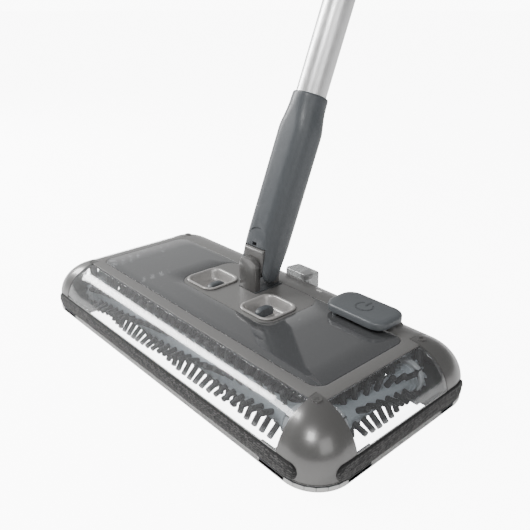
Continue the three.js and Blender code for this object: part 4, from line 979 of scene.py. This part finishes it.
front_ear = ear("yoke_ear_front", 10.2, 15.7, 9.5)
dress(front_ear, "cap")
rear_ear = ear("yoke_ear_rear", 32.3, 37.8, 6.5)
dress(rear_ear, "frame")
foot = slab("yoke_foot", rounded(-9.5, 9.5, 10.2, 37.8, 1.2, 5), 32, 40.6)
dress(foot, "slate")
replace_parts(foot, "handle_yoke")
barrel = lathe("knuckle_barrel", [(0.01, -8), (8.4, -8), (9.2, -7.2), (9.2, 7.2), (8.4, 8), (0.01, 8)], "knuckle",
               Matrix.Translation((0, 24 * MM, 56.5 * MM)) @ Matrix.Rotation(math.pi / 2, 4, "X"), 48)
dress(barrel, "frame")
# A rounded saddle on the knuckle fills the neck's pocket behind the front ear.
SADDLE_R, SADDLE_HALF = 16.6, 7.7
start = math.acos(SADDLE_HALF / SADDLE_R)
arc = [(SADDLE_R * math.cos(t), SADDLE_R * math.sin(t)) for t in np.linspace(start, math.pi - start, 21)]
saddle = slab("knuckle_saddle", [(-SADDLE_HALF, 0), (SADDLE_HALF, 0)] + arc, -10.3, 10.3, "knuckle", bevel=0.8, place=Matrix(
    ((0, 0, 1, 0), (1, 0, 0, 24 * MM), (0, 1, 0, 56.5 * MM), (0, 0, 0, 1))))
dress(saddle, "frame")
trunnion = lathe("knuckle_trunnion", [(0.01, -14), (4, -14), (4, 14), (0.01, 14)], "knuckle",
                 Matrix.Translation((0, 24 * MM, 56.5 * MM)) @ Matrix.Rotation(math.pi / 2, 4, "Y"), 32)
dress(trunnion, "slate")
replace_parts(barrel, "swivel_knuckle")


def oval(w, d, r, z, steps=12):
    return [(x, y, z) for x, y in rounded(-w / 2, w / 2, -d / 2, d / 2, min(r, w / 2 - 0.05, d / 2 - 0.05), steps)]


neck_rings = [oval(26, 4, 1.5, -10.0), oval(28.6, 8.5, 3, -9.4), oval(30.4, 13, 4, -7.4), oval(31.4, 16, 4.5, -4),
              oval(32, 17, 5, 0), oval(32, 18.6, 6, 6), oval(32, 21.8, 7.6, 11), oval(32, 24.6, 9.4, 16),
              oval(32, 26.4, 10.6, 21), oval(32, 27, 11, 27)]
for z in (40, 55, 70, 85, 97, 103):
    neck_rings.append(oval(32, 27, 11, z))
for z, w, d, r in ((106, 31.8, 27, 11.2), (109, 31.2, 27, 11.8), (113, 30, 27, 12.5), (117, 28.8, 27, 13),
                   (121, 27.9, 27, 13.4), (125, 27.4, 26.9, 13.4), (129.2, 27.1, 26.7, 13.3), (130.4, 26.7, 26.4, 13.1),
                   (131, 25.8, 25.6, 12.7)):
    neck_rings.append(oval(w, d, r, z))
neck = lofted("neck", neck_rings, "handle", angle=40)
tools = []
# The mouth is open below the pin and a round pocket above it, so the ears pass when the handle tilts.
tools.append(lofted("slot_mouth", [[(x, y, z) for x, y in rounded(-w, w, -30, 30, 0.5, 3)]
                                   for w, z in ((12.2, -14), (12.2, -9), (11, 1))], None))
tools.append(lathe("slot_round", [(0.01, -11), (17.4, -11), (17.4, 11), (0.01, 11)], None,
                   Matrix.Rotation(math.pi / 2, 4, "Y"), 64))
tools.append(lathe("socket_tool", [(0.01, 96.7), (11.8, 96.7), (11.8, 140), (0.01, 140)], None, None, 48))
# A shallow arched recess on the front face, and a small window for the release tongue.
recess = lofted("recess_tool", [
    [(9.8 * s * math.cos(t), y, 19 + 9.8 * 0.9 * s * math.sin(t)) for t in np.linspace(0, math.pi, 25)]
    + [(-9.8 * s, y, 12), (9.8 * s, y, 12)] for s, y in ((1.0, -15), (1.0, -12.7))], None)
tools.append(recess)
tools.append(slab("key_tool", rounded(-3.4, 1.4, -16, -9, 0.4, 3), 14.0, 16.4, None, bevel=0))
carve(neck, tools)
neck.data.transform(lean())
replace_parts(neck, "handle_neck")
dress(neck, "slate")
print("neck faces:", len(neck.data.polygons), "saddle faces:", len(saddle.data.polygons))

# %% [markdown]
# ## Tube and grip
# Three lengths of drawn aluminium plug into each other, each held by a snap button. The seam between two
# lengths shows as a rolled edge.

# %% Tube and grip
def tube(name, z0, z1, plug=None):
    profile = []
    if plug:
        profile += [(9.3, z0 - plug), (10.2, z0 - plug), (10.3, z0 - plug + 0.5), (10.3, z0 - 1), (11.2, z0),
                    (11.5, z0 + 0.5)]
    else:
        profile += [(10.6, z0), (11.5, z0)]
    for k in range(1, 12):
        profile.append((11.5, z0 + 1 + (z1 - z0 - 2) * k / 12))
    profile += [(11.5, z1 - 0.4), (11.2, z1), (10.7, z1), (10.6, z1 - 0.6)]
    profile += [(10.6, z0 + 2)]
    if plug:
        profile += [(9.4, z0 + 0.5), (9.3, z0 - 1)]
    steps = 72
    rings = [[(r * math.cos(2 * math.pi * k / steps), r * math.sin(2 * math.pi * k / steps), z) for k in range(steps)]
             for r, z in profile]
    verts, faces = grid(rings, close_u=True, close_v=True)
    obj = obj_from(name, verts, faces, "handle")
    obj.data.transform(lean())
    return dress(obj, "tube")


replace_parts(tube("tube_first", 97, 400), "tube_lower")
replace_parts(tube("tube_second", 400.3, 690, 34), "tube_middle")
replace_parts(tube("tube_third", 690.3, 980, 34), "tube_upper")
for name, z in (("lower", 383), ("middle", 673)):
    button = lathe("snap_button_" + name, [(0.01, -7.0), (4.3, -7.0), (4.3, -8.0), (3.0, -8.2), (3.0, -12.2),
                                           (2.6, -12.7), (1.6, -12.9), (0.01, -12.95)], "button_" + name, None, 32)
    button.data.transform(lean(z) @ Matrix.Rotation(-math.pi / 2, 4, "X"))
    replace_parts(button, "tube_button_" + name)
    dress(button, "slate")
profile = [(11.9, 935), (13.2, 935), (13.6, 935.6)]
for k in range(61):
    z = 936.5 + 118 * k / 60
    base = 15.0 - 1.1 * math.exp(-((z - 1005) / 14) ** 2) - (1.4 if k == 0 else 0)
    groove = 0.45 if (k % 4 == 0 and 6 < k < 54) else 0.0
    profile.append((base - groove, z))
profile += [(14.2, 1057), (12.4, 1059.2), (9, 1060), (0.01, 1060)]
hold = lathe("grip_sleeve", profile[1:], "handle", None, 56)
carve(hold, [lathe("grip_tool", [(0.01, 930), (11.8, 930), (11.8, 980.3), (0.01, 980.3)], None, None, 48)])
hold.data.transform(lean())
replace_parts(hold, "handle_grip")
dress(hold, "rubber")
loop_ring = slab("hang_loop", rounded(-11, 11, -6, 22, 9, 12), -3.5, 3.5, None, bevel=0)
loop_ring = carve(loop_ring, [slab("loop_tool", rounded(-6, 6, 2, 17, 5, 10), -6, 6, None, bevel=0)])
loop_ring.modifiers["soft"].width = 1.4 * MM
loop_ring.modifiers["soft"].segments = 4
loop_ring.data.transform(lean(1060) @ Matrix.Rotation(math.pi / 2, 4, "X"))
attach(loop_ring, "handle")
dress(loop_ring, "rubber")
print("grip_sleeve faces:", len(hold.data.polygons))

# %% [markdown]
# ## Power pedal
# A soft-cornered paddle with a faintly crowned top. The power mark is a ring open at the top with a short
# bar, inlaid flush in a paler plastic.

# %% Power pedal
rings = []
for inset, z in ((0.6, 43.0), (0.0, 43.5), (0.0, 46.6), (0.35, 47.5), (1.0, 48.1), (2.2, 48.5), (5, 48.55)):
    rings.append([(x, y, z) for x, y in rounded(62 + inset, 113 - inset, 26.5 + inset, 57 - inset, 10 - inset * 0.7, 14)])
paddle = lofted("pedal_paddle", rings, "pedal", angle=50)
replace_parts(paddle, "power_pedal")
dress(paddle, "slate_light")
for name, (x, y), bottom in (("stem", (71.5, 29.4), 32.2), ("guide", (106, 50), 42.2)):
    rod = lathe("pedal_" + name, [(0.01, bottom), (1.5, bottom), (1.5, 44), (0.01, 44)], "pedal",
                Matrix.Translation((x * MM, y * MM, 0)), 24)
    dress(rod, "slate_light")
mark = []
for z in (48.3, 48.72):
    turn = np.linspace(math.radians(125), math.radians(415), 56)
    outer = [(87.5 + 6.6 * math.cos(t), 41.5 + 6.6 * math.sin(t), z) for t in turn]
    inner = [(87.5 + 5.5 * math.cos(t), 41.5 + 5.5 * math.sin(t), z) for t in turn[::-1]]
    mark.append(outer + inner)
verts, faces = grid(mark, close_u=True)
n = len(mark[0])
for base, order in ((0, -1), (n, 1)):
    for k in range(55):
        quad = (base + k, base + k + 1, base + n - 2 - k, base + n - 1 - k)
        faces.append(quad[::order])
icon = obj_from("power_ring", verts, faces, "pedal", smooth=False)
finish["mark"] = plastic("pedal mark", (0.05, 0.055, 0.06), 0.3)
dress(icon, "mark")
bar_mark = slab("power_bar", rounded(86.9, 88.1, 42.5, 49.5, 0.5, 4), 48.3, 48.72, "pedal", bevel=0)
dress(bar_mark, "mark")
print("pedal faces:", len(paddle.data.polygons))

# %% [markdown]
# ## Screws
# Each cap is held by one pan-head screw: a turned head with a small recess.

# %% Screws
for (sx, sy), where in BODY_NAMES.items():
    x, y = sx * 130.5, (-50.5 if sy < 0 else 47.5)
    head = lathe("screw_head_" + where,
                 [(0.01, 37.9), (3, 37.9), (3, 39.0), (2.6, 39.4), (1.2, 39.5), (1.0, 38.9), (0.01, 38.9)],
                 "head", Matrix.Translation((x * MM, y * MM, 0)), 32)
    dress(head, "cap")

# %% [markdown]
# ## Light and camera
# A pale seamless floor and large soft boxes, as for a catalogue picture. One long box overhead gives the
# streak along the front pane.

# %% Stage
def area(name, location, size, power, target=(0, 0, 0.02), size_y=None):
    light = bpy.data.lights.new(name, "AREA")
    light.energy = power
    light.size = size
    if size_y:
        light.shape = "RECTANGLE"
        light.size_y = size_y
    obj = bpy.data.objects.new(name, light)
    obj.location = location
    obj.rotation_euler = (Vector(target) - Vector(location)).to_track_quat("-Z", "Y").to_euler()
    bpy.context.collection.objects.link(obj)
    return obj


floor_mesh = bpy.data.meshes.new("floor")
bm = bmesh.new()
bmesh.ops.create_grid(bm, x_segments=1, y_segments=1, size=40)
bm.to_mesh(floor_mesh)
bm.free()
floor = bpy.data.objects.new("floor", floor_mesh)
bpy.context.collection.objects.link(floor)
mat, nodes, links, out = new_material("pale floor")
shader = nodes.new("ShaderNodeBsdfPrincipled")
shader.inputs["Base Color"].default_value = (0.9, 0.9, 0.9, 1)
shader.inputs["Roughness"].default_value = 0.7
shader.inputs["Emission Color"].default_value = (1, 1, 1, 1)
seen = nodes.new("ShaderNodeLightPath")
glow = nodes.new("ShaderNodeMapRange")
glow.inputs["To Min"].default_value = 0.55
glow.inputs["To Max"].default_value = 9.0
links.new(seen.outputs["Is Camera Ray"], glow.inputs["Value"])
links.new(glow.outputs[0], shader.inputs["Emission Strength"])
links.new(shader.outputs[0], out.inputs[0])
floor_mesh.materials.append(mat)

world = bpy.data.worlds.new("studio")
bpy.context.scene.world = world
world.use_nodes = True
nodes, links = world.node_tree.nodes, world.node_tree.links
coords = nodes.new("ShaderNodeTexCoord")
parts = nodes.new("ShaderNodeSeparateXYZ")
links.new(coords.outputs["Generated"], parts.inputs[0])
side_glow = nodes.new("ShaderNodeMapRange")
side_glow.interpolation_type = "SMOOTHSTEP"
for key, value in (("From Min", -0.9), ("From Max", -0.35), ("To Min", 0.95), ("To Max", 0.28)):
    side_glow.inputs[key].default_value = value
links.new(parts.outputs["X"], side_glow.inputs["Value"])
seen = nodes.new("ShaderNodeLightPath")
strength = nodes.new("ShaderNodeMix")
strength.inputs[3].default_value = 10.0
links.new(seen.outputs["Is Camera Ray"], strength.inputs[0])
links.new(side_glow.outputs[0], strength.inputs[2])
nodes["Background"].inputs[0].default_value = (1, 1, 1, 1)
links.new(strength.outputs[0], nodes["Background"].inputs[1])
area("key", (0.5, -0.9, 1.3), 0.45, 13)
area("fill", (1.3, -0.4, 0.8), 0.8, 5)
streak = area("streak", (-0.91, -0.31, 0.77), 1.0, 20, size_y=0.24)
facing = (Vector((0, -0.07, 0.03)) - streak.location).normalized()
long_axis = Vector((-0.44, 0.09, -0.26)).normalized()
short_axis = (-facing).cross(long_axis).normalized()
long_axis = short_axis.cross(-facing).normalized()
streak.rotation_euler = Matrix((long_axis, short_axis, -facing)).transposed().to_euler()

camera_data = bpy.data.cameras.new("camera")
camera_data.lens = 40.7
camera_data.sensor_width = 36
camera = bpy.data.objects.new("camera", camera_data)
camera.location = (0.31463, -0.25456, 0.23744)
camera.rotation_euler = (math.radians(66.7), 0, math.radians(48.03))
bpy.context.collection.objects.link(camera)
bpy.context.scene.camera = camera
